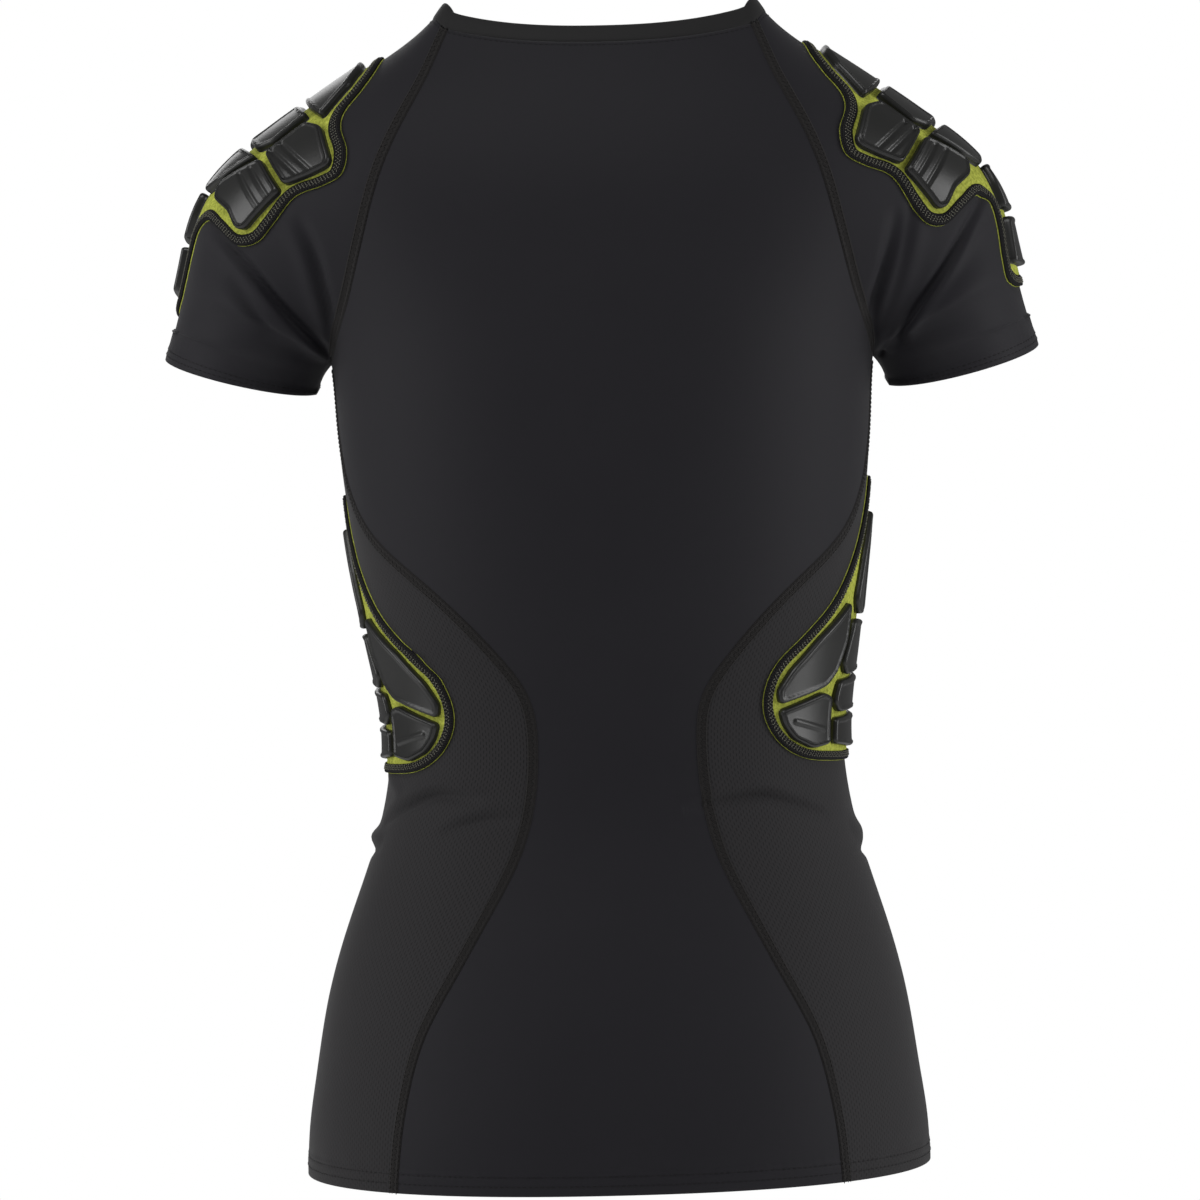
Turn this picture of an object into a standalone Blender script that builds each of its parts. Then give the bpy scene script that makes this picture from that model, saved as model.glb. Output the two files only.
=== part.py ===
# A women's padded compression shirt, filled out as worn, with raglan short
# sleeves, mesh side panels, and moulded pads on the shoulders and the ribs.
# Metres in Blender; every size below is in millimetres until it becomes a mesh.
# +Z is up, the front faces -Y, and the wearer's left is +X. The origin is where
# the wearer's shoulders hold the shirt: the middle of the neck, at the height
# where the shoulder line meets the neck band.

import math

import bmesh
import bpy
import numpy as np
from mathutils.geometry import delaunay_2d_cdt

MM = 0.001

# Cloth and seams
CLOTH_WALL = 1.2
SEAM_GAP = 0.36
NECK_BAND_WIDTH = 10.0
NECK_BAND_WALL = 2.4
NECK_BAND_LEAN = 0.35

# The neck band's section, as shares of its width upwards and of its wall inwards
NECK_BAND_SECTION = [(0, 0), (0.5, -0.12), (1, 0.3), (1, 0.7), (0.5, 1), (0, 1)]

# The pads, as heights above the cloth: a foam sheet, its sewn edging, and the tiles
FOAM_HEIGHTS = (0.95, 1.9)
BORDER_HEIGHTS = (2.7, 3.5)
BORDER_INSETS = (1.0, 5.2)
TILE_FOOT = 2.2
TILE_GAP = 0.45
TILE_BEVEL = 1.7
SHOULDER_TILE_HEIGHTS = (4.7, 6.4)
RIB_TILE_HEIGHTS = (4.0, 5.6)
OUTLINE_SPACING = 10.5
CURVE_STEPS = 8
SLOPE_STEP = 3.0
MITRE_LIMIT = 0.6
SLIVER_AREA = 0.01
KNOT_MARGIN = 2.5
RIB_GRID = 12.0
RIB_GRID_HEIGHTS = (-440.0, -215.0)
RIB_GRID_ANGLE = 90.0
RIB_GRID_COLUMNS = 30
LONG_SIDE = 22.0
CORNER_CUT = 0.25
CORNER_CUT_LENGTH = 2.2

# How finely the cloth is divided: bands up the body, each from a low height to a high
# one in so many rows, then rows along the raglan seams, and columns across each piece
BODY_BANDS = [(-610, -450, 8), (-450, -370, 12), (-370, -176, 10)]
RAGLAN_ROWS = 11
CUFF_ROWS = 3
BACK_COLUMNS = 12
FRONT_COLUMNS = 12
SIDE_COLUMNS = 6
SLEEVE_COLUMNS = 20
UNDERARM_COLUMNS = 3

UNDERARM_HEIGHT = -176.0

# About how wide the cloth is between its raglan seams, which sets the seam gap's share
PANEL_TOP_WIDTH = 250.0
SLEEVE_WIDTH = 240.0

# Level sections of the torso. Each is a superellipse round the vertical through the
# origin, and squareness is its power.
TORSO_COLUMNS = ("height", "half_width", "back_depth", "front_depth", "squareness")
TORSO = [
    (-610, 167.0, 120.0, 103.0, 2.25),
    (-590, 166.5, 121.0, 103.0, 2.25),
    (-560, 162.5, 117.0, 103.0, 2.25),
    (-520, 156.0, 109.0, 101.0, 2.20),
    (-480, 145.3, 99.0, 97.0, 2.20),
    (-440, 132.0, 89.0, 92.0, 2.20),
    (-400, 123.3, 83.5, 88.0, 2.20),
    (-370, 122.5, 84.0, 90.0, 2.20),
    (-330, 128.5, 90.0, 99.0, 2.20),
    (-290, 134.5, 97.0, 113.0, 2.20),
    (-250, 140.0, 102.0, 123.0, 2.20),
    (-210, 143.5, 105.0, 121.0, 2.20),
    (-176, 146.0, 106.0, 112.0, 2.25),
    (-150, 153.0, 105.5, 103.0, 2.30),
    (-120, 167.0, 103.0, 92.0, 2.40),
    (-90, 176.0, 99.5, 81.0, 2.50),
    (-60, 177.0, 91.0, 71.0, 2.50),
    (-35, 165.0, 80.0, 61.0, 2.40),
    (-10, 145.0, 66.0, 50.0, 2.20),
    (15, 128.0, 52.0, 40.0, 2.20),
]

# Where the side panels' seams run, as angles round the section from the side line.
SIDE_SEAM_COLUMNS = ("height", "back_angle", "front_angle")
SIDE_SEAMS = [
    (-610, 48.0, 44.0),
    (-590, 48.5, 44.5),
    (-560, 49.5, 46.0),
    (-530, 52.0, 48.0),
    (-500, 57.5, 50.5),
    (-470, 63.0, 53.0),
    (-440, 68.0, 55.5),
    (-410, 70.5, 57.0),
    (-380, 71.0, 57.0),
    (-355, 69.0, 55.0),
    (-335, 62.5, 50.0),
    (-315, 53.5, 43.0),
    (-295, 41.5, 35.0),
    (-275, 27.0, 26.0),
    (-250, 15.0, 17.0),
    (-215, 8.0, 9.0),
    (-176, 5.5, 5.5),
]

# The raglan seams, from the underarm (part 0) to the neck (part 1). crease is how many
# degrees the sleeve turns up from the body's surface at the seam.
RAGLAN_COLUMNS = ("part", "back_x", "back_z", "front_x", "front_z", "crease")
RAGLAN = [
    (0.0, 145.4, -176, 145.4, -176, 160.0),
    (0.1, 140.5, -162, 140.5, -163, 84.0),
    (0.2, 134.5, -146, 134.5, -149, 42.0),
    (0.3, 129.2, -128, 127.0, -133, 20.0),
    (0.4, 124.2, -109.5, 120.0, -117, 9.0),
    (0.5, 118.8, -90, 113.0, -101, 3.0),
    (0.6, 111.5, -70, 105.0, -85, 0.0),
    (0.7, 102.4, -51, 97.0, -69, 0.0),
    (0.8, 93.8, -34, 89.0, -53, 0.0),
    (0.9, 87.5, -18.5, 81.0, -38, 0.0),
    (1.0, 82.0, -4, 74.0, -24, 0.0),
]

# The sleeve's outer line, from the cuff (part -1) past the underarm (0) to the neck (1).
# fullness swells the sleeve's section there.
OUTER_COLUMNS = ("part", "x", "y", "z", "fullness")
OUTER_LINE = [
    (-1.0, 236.5, -14.0, -171.0, 1.10),
    (-0.5, 231.5, -11.0, -155.0, 1.12),
    (0.0, 225.5, -8.0, -137.0, 1.13),
    (0.1, 221.0, -7.0, -118.0, 1.12),
    (0.2, 216.0, -6.0, -98.5, 1.10),
    (0.3, 206.0, -4.5, -81.0, 1.08),
    (0.4, 191.5, -3.0, -66.5, 1.06),
    (0.5, 174.5, -1.5, -54.5, 1.04),
    (0.6, 157.0, 0.0, -43.0, 1.02),
    (0.7, 138.7, 1.5, -31.2, 1.00),
    (0.8, 120.5, 3.0, -20.0, 1.00),
    (0.9, 103.0, 4.5, -9.5, 1.00),
    (1.0, 87.5, 5.0, 0.0, 1.00),
]

# The middle of the sleeve's underarm strip, from the cuff to the underarm, and the
# degrees by which the strip leans forward. The strip bows down between its edges.
INNER_COLUMNS = ("part", "x", "y", "z", "lean")
INNER_LINE = [
    (-1.0, 155.0, -12.0, -191.0, 10.0),
    (-0.5, 151.5, -6.0, -183.0, 6.0),
    (0.0, 146.4, 0.0, -176.0, 0.0),
]
UNDERARM_HALF_GUSSET = 12.0
SLEEVE_LEAD_ANGLE = 77.0
UNDERARM_BOW = 8.0

# How far the middle of the neck edge drops below its seam ends
BACK_NECK_DROP = 11.0
FRONT_NECK_DROP = 50.0
NECK_DROP_SPREAD = 2.4

# The stance: the hips shift sideways and the shoulders tilt a little
STANCE_COLUMNS = ("height", "shift", "tilt")
STANCE = [
    (-640, -10.5, 0.030),
    (-520, -9.0, 0.012),
    (-400, -9.0, 0.002),
    (-300, -4.5, 0.006),
    (-200, -1.2, 0.016),
    (-100, 0.8, 0.020),
    (20, 0.8, 0.020),
]

# Waist creases: centre angle round the body, height, half span in degrees, rise in mm a
# degree, half width and depth. A negative depth is a ridge.
CREASES = [
    (30, -420, 38, 0.08, 5.5, 2.2),
    (62, -431, 20, 0.05, 5.0, 1.3),
    (8, -434, 24, 0.00, 7.0, -2.0),
    (150, -419, 36, -0.10, 5.5, 2.2),
    (166, -437, 24, 0.05, 6.0, 1.6),
    (-34, -417, 34, 0.06, 5.5, 2.0),
    (-140, -424, 38, -0.05, 5.5, 2.0),
    (-88, -412, 26, 0.04, 6.0, 1.2),
]

# Sleeve creases in flat coordinates of the sleeve: the along and across of each end, then
# half width and depth
SLEEVE_CREASES = [
    (168, 62, 214, 122, 7.0, 2.6),
    (176, 98, 206, 128, 6.0, 1.8),
    (172, -60, 216, -118, 7.0, 2.4),
    (164, -92, 204, -126, 6.0, 1.8),
]

# The pads in flat coordinates. On a shoulder: mm along the outer line from the neck
# edge, and mm across it to the back. On the ribs: height, and mm round from the side.
SHOULDER_OUTLINE = [
    (27, 0), (30, 24), (40, 43), (55, 56), (71, 64), (80, 73), (89, 89), (101, 98),
    (112, 95), (125, 87), (143, 86), (157, 82), (164, 70), (161, 54), (159, 40),
    (167, 29), (181, 26), (196, 27), (206, 25), (212, 14), (213, 0),
]
RIB_OUTLINE = [
    (-243, 1), (-256, 10), (-283, 27), (-308, 46), (-327, 66), (-341, 80), (-355, 85),
    (-370, 83), (-384, 73), (-392, 57), (-394, 33), (-394, 4), (-393, -40), (-388, -58),
    (-375, -73), (-356, -77), (-341, -70), (-325, -54), (-307, -36), (-282, -19), (-256, -7),
]
SHOULDER_PAIRS = {
    "shield_upper": [
        (88, 55), (86, 66), (93, 79), (98, 88), (102, 90), (111, 86), (122, 79), (113, 52),
    ],
    "shield_lower": [
        (118, 53), (127, 79), (140, 77), (153, 74), (155, 69), (149, 59), (147, 44), (140, 38),
    ],
    "bar_upper": [(81, 23), (84, 47), (106, 48), (113, 41), (111, 23), (92, 20)],
    "bar_lower": [(117, 20), (118, 46), (138, 34), (145, 25), (141, 13), (124, 14)],
}
SHOULDER_CENTRES = {
    "neck": [
        (40, 0), (41, 25), (46, 36), (57, 47), (71, 54), (80, 58), (79, 46), (76, 25), (72, 0),
    ],
    "crest_upper": [(77, 0), (81, 16), (92, 13), (109, 16), (112, 0)],
    "crest_lower": [(116, 0), (118, 13), (139, 8), (142, 0)],
    "arm_upper": [(147, 0), (147, 18), (158, 21), (170, 20), (172, 0)],
    "arm_lower": [(177, 0), (176, 18), (199, 20), (202, 0)],
}
RIB_PAIRS = {
    "teardrop": [
        (-311, 34), (-329, 57), (-345, 72), (-356, 78), (-362, 76), (-353, 47),
        (-346, 40), (-330, 34),
    ],
    "round": [(-367, 75), (-358, 48), (-360, 41), (-384, 41), (-386, 54), (-381, 66), (-374, 72)],
}
RIB_SINGLES = {
    "strip_back": [(-262, 3), (-285, 15), (-308, 23), (-315, 18), (-315, 3)],
    "strip_front": [(-262, -1), (-315, 0), (-315, -7), (-304, -10), (-285, -9)],
    "side_upper": [(-320, 24), (-341, 32), (-347, 27), (-343, -13), (-320, -9)],
    "side_middle": [(-352, 33), (-362, 36), (-367, 31), (-364, -16), (-348, -15)],
    "side_lower": [(-372, 34), (-384, 35), (-386, 12), (-385, -18), (-369, -18)],
}
RIB_FRONT_SHIFT = 9.0

# Each pad lies a little differently from its pair: mm further along, and how fast it bends
# across past the middle of the shoulder
SHOULDER_PLACING = {"left": (4.0, -0.05), "right": (-4.0, 0.05)}
RIB_PLACING = {"left": (-5.0, -6.0), "right": (2.0, 4.0)}
SHOULDER_MIDDLE = 90.0
SHOULDER_BEND = 50.0


def spline(table, columns, name, at):
    """Reads a column of a table at the given places, on a smooth curve through its rows."""
    rows = np.array(table, float)
    x = rows[:, 0]
    y = rows[:, columns.index(name)]
    step = np.diff(x)
    slope = np.diff(y) / step
    count = len(x)
    system = np.eye(count)
    right = np.zeros(count)
    for i in range(1, count - 1):
        system[i, i - 1] = step[i - 1]
        system[i, i] = 2 * (step[i - 1] + step[i])
        system[i, i + 1] = step[i]
        right[i] = 6 * (slope[i] - slope[i - 1])
    bend = np.linalg.solve(system, right)
    at = np.clip(np.asarray(at, float), x[0], x[-1])
    k = np.clip(np.searchsorted(x, at) - 1, 0, count - 2)
    h = step[k]
    left = (x[k + 1] - at) / h
    rest = (at - x[k]) / h
    curve = (left**3 - left) * bend[k] + (rest**3 - rest) * bend[k + 1]
    return left * y[k] + rest * y[k + 1] + curve * h * h / 6


def unit(v):
    return v / np.linalg.norm(v, axis=-1, keepdims=True)


def torso_point(angle, height):
    """A point of the torso form: angle in degrees from the left side line, plus to the back."""
    angle, height = np.broadcast_arrays(np.asarray(angle, float), np.asarray(height, float))
    wide = spline(TORSO, TORSO_COLUMNS, "half_width", height)
    back = spline(TORSO, TORSO_COLUMNS, "back_depth", height)
    front = spline(TORSO, TORSO_COLUMNS, "front_depth", height)
    power = 2 / spline(TORSO, TORSO_COLUMNS, "squareness", height)
    c = np.cos(np.radians(angle))
    s = np.sin(np.radians(angle))
    x = wide * np.sign(c) * np.abs(c) ** power
    y = np.where(s >= 0, back, front) * np.sign(s) * np.abs(s) ** power
    return np.stack([x, y, height], axis=-1)


def torso_angle(x, height):
    """The angle (0 to 90) at which the torso form is x wide at this height."""
    wide = spline(TORSO, TORSO_COLUMNS, "half_width", height)
    power = spline(TORSO, TORSO_COLUMNS, "squareness", height) / 2
    return np.degrees(np.arccos(np.clip((x / wide) ** power, 0, 1)))


def torso_normal(angle, height):
    """The outward direction of the torso form, from its slopes a little to each side."""
    turn = 0.5
    rise = 1.0
    along = torso_point(angle + turn, height) - torso_point(angle - turn, height)
    up = torso_point(angle, height + rise) - torso_point(angle, height - rise)
    return unit(np.cross(along, up))


def seam_angle(part, side):
    """The raglan seam on the torso form, as (angle, height); side is back or front."""
    height = spline(RAGLAN, RAGLAN_COLUMNS, side + "_z", part)
    angle = torso_angle(spline(RAGLAN, RAGLAN_COLUMNS, side + "_x", part), height)
    if part <= 0:
        angle = spline(SIDE_SEAMS, SIDE_SEAM_COLUMNS, side + "_angle", height)
    return (angle, height) if side == "back" else (-angle, height)


def arc(start, end, leave, arrive, share, fullness=1.0):
    """Points on a round arc from start to end, given the unit directions at its two ends."""
    chord = np.linalg.norm(end - start)
    turn = math.acos(float(np.clip(np.dot(leave, arrive), -1, 1)))
    pull = chord / math.cos(turn / 4) ** 2
    t = np.asarray(share, float)[..., None]
    keep_start = 2 * t**3 - 3 * t**2 + 1
    keep_end = 3 * t**2 - 2 * t**3
    from_start = t**3 - 2 * t**2 + t
    into_end = t**3 - t**2
    swell = pull * fullness
    return keep_start * start + keep_end * end + swell * (from_start * leave + into_end * arrive)


def sleeve_frame(part):
    """The left sleeve's section at this part: its ends at the back and front seams, its outer
    point, the directions across it and out of it, how it leaves each seam, and its fullness."""
    outer = np.array([spline(OUTER_LINE, OUTER_COLUMNS, k, part) for k in "xyz"])
    fullness = float(spline(OUTER_LINE, OUTER_COLUMNS, "fullness", part))
    inner = np.array([spline(INNER_LINE, INNER_COLUMNS, k, min(part, 0)) for k in "xyz"])
    lean = math.radians(spline(INNER_LINE, INNER_COLUMNS, "lean", min(part, 0)))
    if part >= 0:
        back_angle, back_height = seam_angle(part, "back")
        front_angle, front_height = seam_angle(part, "front")
        back = torso_point(back_angle, back_height)
        front = torso_point(front_angle, front_height)
    else:
        depth = UNDERARM_HALF_GUSSET * np.array([0, math.cos(lean), -math.sin(lean)])
        back = inner + depth
        front = inner - depth
    across = unit(back - front)
    out = outer - (back + front) / 2
    out = unit(out - across * np.dot(out, across))
    leads = []
    for end, way, side in ((back, across, "back"), (front, -across, "front")):
        if part >= 0:
            normal = torso_normal(*seam_angle(part, side))
            crease = float(spline(RAGLAN, RAGLAN_COLUMNS, "crease", part))
            lead = math.atan(-np.dot(out, normal) / np.dot(way, normal)) + math.radians(crease)
            lead = min(lead, math.radians(SLEEVE_LEAD_ANGLE))
        else:
            lead = math.radians(SLEEVE_LEAD_ANGLE)
        leads.append(math.cos(lead) * out + math.sin(lead) * way)
    return back, front, outer, across, out, leads, fullness


def sleeve_section(part, shares):
    """Points across the left sleeve: share 1 is the back seam, 0 the outer line, -1 the front seam."""
    back, front, outer, across, _, leads, fullness = sleeve_frame(part)
    shares = np.asarray(shares, float)
    to_back = arc(back, outer, leads[0], -across, 1 - np.abs(shares), fullness)
    to_front = arc(front, outer, leads[1], across, 1 - np.abs(shares), fullness)
    return np.where((shares >= 0)[:, None], to_back, to_front)


def underarm_section(part, shares):
    """Points under the left arm, from the back seam (0) to the front seam (1), for part up to 0."""
    back, front, _, across, out, _, _ = sleeve_frame(part)
    dip = -math.radians(UNDERARM_BOW * max(0, 1 + 3 * part))
    leave = -(math.cos(dip) * across) - math.sin(dip) * out
    arrive = -(math.cos(dip) * across) + math.sin(dip) * out
    return arc(back, front, unit(leave), unit(arrive), shares)


def stand(points):
    """The stance applied to finished points."""
    moved = np.array(points, float)
    height = moved[..., 2].copy()
    sideways = moved[..., 0].copy()
    moved[..., 0] += spline(STANCE, STANCE_COLUMNS, "shift", height)
    moved[..., 2] -= sideways * spline(STANCE, STANCE_COLUMNS, "tilt", height)
    return moved


def mirrored(points, side):
    """Left points (side 1), or the same on the right (side -1)."""
    return points * np.array([side, 1, 1])


def material(name, colour, roughness, metallic=0.0):
    made = bpy.data.materials.new(name)
    made.use_nodes = True
    shader = made.node_tree.nodes["Principled BSDF"]
    shader.inputs["Base Color"].default_value = (*colour, 1)
    shader.inputs["Roughness"].default_value = roughness
    shader.inputs["Metallic"].default_value = metallic
    return made


def object_of(name, points, faces, finish):
    """A named solid from points in millimetres."""
    mesh = bpy.data.meshes.new(name)
    mesh.from_pydata([tuple(p) for p in np.asarray(points) * MM], [], faces)
    solid = bmesh.new()
    solid.from_mesh(mesh)
    bmesh.ops.recalc_face_normals(solid, faces=solid.faces)
    solid.to_mesh(mesh)
    solid.free()
    mesh.materials.append(finish)
    mesh.shade_smooth()
    made = bpy.data.objects.new(name, mesh)
    SHIRT.objects.link(made)
    return made


def wall_of(name, outer, inner, faces, finish):
    """A solid between an outer surface and an inner one with the same faces, closed at its edges."""
    count = len(outer)
    edges = set()
    for face in faces:
        for i, j in zip(face, face[1:] + face[:1]):
            if (j, i) in edges:
                edges.remove((j, i))
            else:
                edges.add((i, j))
    solid = list(faces)
    solid += [tuple(count + i for i in reversed(face)) for face in faces]
    solid += [(j, i, count + i, count + j) for i, j in sorted(edges)]
    return object_of(name, np.concatenate([outer, inner]), solid, finish)


def grid_faces(rows, columns, ring=False):
    """Quads over a grid of numbered points; a ring also joins its last column to its first."""
    faces = []
    for r in range(rows - 1):
        for c in range(columns if ring else columns - 1):
            low = r * columns
            right = (c + 1) % columns
            faces.append((low + c, low + right, low + columns + right, low + columns + c))
    return faces


def closed_tube(rings, count):
    """Quads round a tube of rings of points whose last ring joins its first."""
    faces = grid_faces(rings, count, ring=True)
    last = (rings - 1) * count
    for k in range(count):
        j = (k + 1) % count
        faces.append((last + k, last + j, j, k))
    return faces


def body_heights():
    """Row heights from the hem to the underarm, closer together at the waist creases."""
    bands = []
    for low, high, rows in BODY_BANDS:
        bands.append(np.linspace(low, high, rows, endpoint=False))
    return np.concatenate(bands)


def raglan_parts():
    return np.linspace(0, 1, RAGLAN_ROWS + 1)


def across(start, end, columns, length):
    """Angles from one seam to the other, drawn in by half a seam gap at both ends of this length."""
    trim = SEAM_GAP / 2 / length * (end - start)
    return np.linspace(start + trim, end - trim, columns + 1)


def creased(angles, heights, side=1):
    """Points of the torso cloth with its waist creases, and the normals of the plain form."""
    normals = torso_normal(angles, heights)
    round_body = np.asarray(angles if side == 1 else 180 - angles, float)
    round_body = (round_body + 180) % 360 - 180
    depth = np.zeros(np.shape(heights))
    for angle, height, span, rise, width, deep in CREASES:
        off = (round_body - angle + 180) % 360 - 180
        reach = np.clip(1 - (off / span) ** 2, 0, 1) ** 2
        depth = depth + deep * reach * np.exp(-(((heights - height - rise * off) / width) ** 2))
    return torso_point(angles, heights) - depth[:, None] * normals, normals


def torso_wall(name, rows, side, finish):
    """A panel of the torso form from rows of (angles, heights), standing as the body does."""
    outer = []
    inner = []
    for angles, heights in rows:
        points, normals = creased(angles, heights, side)
        outer.append(points)
        inner.append(points - CLOTH_WALL * normals)
    faces = grid_faces(len(rows), len(outer[0]))
    walls = [stand(mirrored(np.concatenate(points), side)) for points in (outer, inner)]
    return wall_of(name, *walls, faces, finish)


def panel_rows(side, columns):
    """Rows of the back or front panel, from the hem to the neck edge."""
    sign = 1 if side == "back" else -1
    rows = []
    for height in body_heights():
        start = float(spline(SIDE_SEAMS, SIDE_SEAM_COLUMNS, side + "_angle", height))
        half_width = float(spline(TORSO, TORSO_COLUMNS, "half_width", height))
        angles = sign * across(start, 180 - start, columns, 2 * half_width)
        rows.append((angles, np.full(len(angles), height)))
    drop = BACK_NECK_DROP if side == "back" else FRONT_NECK_DROP
    for part in raglan_parts():
        angle, height = seam_angle(part, side)
        angle = abs(float(angle))
        angles = across(angle, 180 - angle, columns, PANEL_TOP_WIDTH)
        middle = 1 - np.cos(np.radians(angles)) ** 2 / math.cos(math.radians(angle)) ** 2
        rows.append((sign * angles, height - drop * part**NECK_DROP_SPREAD * middle))
    return rows


def side_rows():
    """Rows of the left side panel, from its front seam to its back seam."""
    rows = []
    for height in list(body_heights()) + [UNDERARM_HEIGHT - SEAM_GAP]:
        back = float(spline(SIDE_SEAMS, SIDE_SEAM_COLUMNS, "back_angle", height))
        front = float(spline(SIDE_SEAMS, SIDE_SEAM_COLUMNS, "front_angle", height))
        wide = float(spline(TORSO, TORSO_COLUMNS, "half_width", height))
        angles = across(-front, back, SIDE_COLUMNS, math.radians(back + front) * wide)
        rows.append((angles, np.full(len(angles), height)))
    return rows


def grid_normals(points, ring):
    """Normals of a grid of points; a ring wraps round in its columns."""
    along = np.gradient(points, axis=0)
    if ring:
        wrapped = np.concatenate([points[:, -1:], points, points[:, :1]], axis=1)
        sideways = (wrapped[:, 2:] - wrapped[:, :-2]) / 2
    else:
        sideways = np.gradient(points, axis=1)
    return unit(np.cross(along, sideways))


def sleeve_grid():
    """The left sleeve without its underarm: parts, and a grid of points from cuff to neck."""
    parts = np.concatenate([np.linspace(-1, 0, CUFF_ROWS + 1)[:-1], raglan_parts()])
    grid = []
    for part in parts:
        width = SLEEVE_WIDTH if part >= 0 else math.inf
        grid.append(sleeve_section(part, across(1, -1, SLEEVE_COLUMNS, width)))
    return parts, np.array(grid)


def sleeve_flat(grid):
    """Flat coordinates of a sleeve grid: along the outer line from the neck, across to the back."""
    spine = grid.shape[1] // 2
    along = np.linalg.norm(np.diff(grid[::-1, spine], axis=0), axis=1)
    along = np.concatenate([[0], np.cumsum(along)])[::-1]
    step = np.linalg.norm(np.diff(grid, axis=1), axis=2)
    sideways = np.concatenate([np.zeros((len(grid), 1)), np.cumsum(step, axis=1)], axis=1)
    return along, sideways[:, spine : spine + 1] - sideways


def sleeve_folds(along, sideways):
    """Depth of the sleeve's creases at flat coordinates."""
    depth = np.zeros(np.shape(along))
    for a, b, to_a, to_b, width, deep in SLEEVE_CREASES:
        run = np.array([to_a - a, to_b - b], float)
        length = np.linalg.norm(run)
        run /= length
        lengthwise = (along - a) * run[0] + (sideways - b) * run[1]
        off = (along - a) * run[1] - (sideways - b) * run[0]
        reach = np.sin(np.pi * np.clip(lengthwise / length, 0, 1)) ** 0.7
        depth = depth + deep * reach * np.exp(-((off / width) ** 2))
    return depth


def sleeve_wall(name, side, finish):
    """A sleeve: closed rings from the cuff to the underarm, then open rows up to the neck."""
    parts, grid = sleeve_grid()
    along, sideways = sleeve_flat(grid)
    low = CUFF_ROWS + 1
    under = np.array(
        [underarm_section(part, np.linspace(1, 0, UNDERARM_COLUMNS + 1))[1:-1] for part in parts[:low]]
    )
    normals = grid_normals(grid, False)
    ring_normals = grid_normals(np.concatenate([grid[:low], under], axis=1), True)
    count = grid.shape[1]
    normals[: low - 1] = ring_normals[:-1, :count]
    grid = grid - sleeve_folds(along[:, None] + 0 * sideways, sideways)[..., None] * normals
    outer = np.concatenate([grid.reshape(-1, 3), under.reshape(-1, 3)])
    lift = np.concatenate([normals.reshape(-1, 3), ring_normals[:, count:].reshape(-1, 3)])
    faces = grid_faces(len(grid), count)
    start = grid.shape[0] * count
    strip = UNDERARM_COLUMNS - 1
    for row in range(low - 1):
        lines = []
        for r in (row, row + 1):
            middle = [start + r * strip + k for k in range(strip)]
            lines.append([r * count + count - 1] + middle + [r * count])
        for k in range(strip + 1):
            faces.append((lines[0][k], lines[0][k + 1], lines[1][k + 1], lines[1][k]))
    walls = [stand(mirrored(points, side)) for points in (outer, outer - CLOTH_WALL * lift)]
    return wall_of(name, *walls, faces, finish)


def neck_band(finish):
    """A folded binding on end round the neck edge of the four panels."""
    top = neck_edges()
    edge = np.concatenate([stand(mirrored(row, side)) for row, _, side in top])
    below = np.concatenate([stand(mirrored(row, side)) for _, row, side in top])
    along = unit(np.roll(edge, -1, axis=0) - np.roll(edge, 1, axis=0))
    up = edge - below
    up = unit(up - along * np.sum(up * along, axis=1)[:, None])
    up = unit(up + NECK_BAND_LEAN * np.array([0, 0, 1.0]))
    inward = unit(np.cross(along, up))
    middle = edge.mean(axis=0)
    inward *= np.sign(np.sum(inward * (middle - edge), axis=1))[:, None]
    foot = edge + SEAM_GAP * up
    rings = []
    for rise, depth in NECK_BAND_SECTION:
        rings.append(foot + rise * NECK_BAND_WIDTH * up + depth * NECK_BAND_WALL * inward)
    faces = closed_tube(len(rings), len(edge))
    return object_of("neck_band", np.concatenate(rings), faces, finish)


def neck_edges():
    """The top rows of the panels and sleeves in order round the neck, with the rows below them."""
    back = [creased(*row)[0] for row in panel_rows("back", BACK_COLUMNS)[-2:]]
    front = [creased(*row)[0] for row in panel_rows("front", FRONT_COLUMNS)[-2:]]
    sleeve = sleeve_grid()[1][-2:, ::2]
    return [
        (back[1][1:-1], back[0][1:-1], 1),
        (sleeve[1], sleeve[0], -1),
        (front[1][::-1][1:-1], front[0][::-1][1:-1], 1),
        (sleeve[1][::-1], sleeve[0][::-1], 1),
    ]


def placer(along, sideways, grid, side, placing, hand):
    """A function that turns flat coordinates and heights above the cloth into points, on a grid
    of the cloth. hand is 1 where along, across and outwards are right-handed, else -1."""
    order = np.argsort(along)
    along, sideways, grid = along[order], sideways[order], grid[order]

    def at(flat):
        a = np.clip(flat[:, 0], along[0], along[-1] - 1e-6)
        row = np.clip(np.searchsorted(along, a) - 1, 0, len(along) - 2)
        mix = ((a - along[row]) / (along[row + 1] - along[row]))[:, None]
        ends = []
        for r in (row, row + 1):
            point = np.empty((len(flat), 3))
            for i, k in enumerate(r):
                turned = np.argsort(sideways[k])
                for axis in range(3):
                    point[i, axis] = np.interp(flat[i, 1], sideways[k][turned], grid[k][turned, axis])
            ends.append(point)
        return ends[0] * (1 - mix) + ends[1] * mix

    def place(flat, heights):
        flat = placing(np.asarray(flat, float))
        lengthwise = at(flat + [SLOPE_STEP, 0]) - at(flat - [SLOPE_STEP, 0])
        crosswise = at(flat + [0, SLOPE_STEP]) - at(flat - [0, SLOPE_STEP])
        normal = hand * unit(np.cross(lengthwise, crosswise))
        return stand(mirrored(at(flat) + normal * np.reshape(heights, (-1, 1)), side))

    return place


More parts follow.
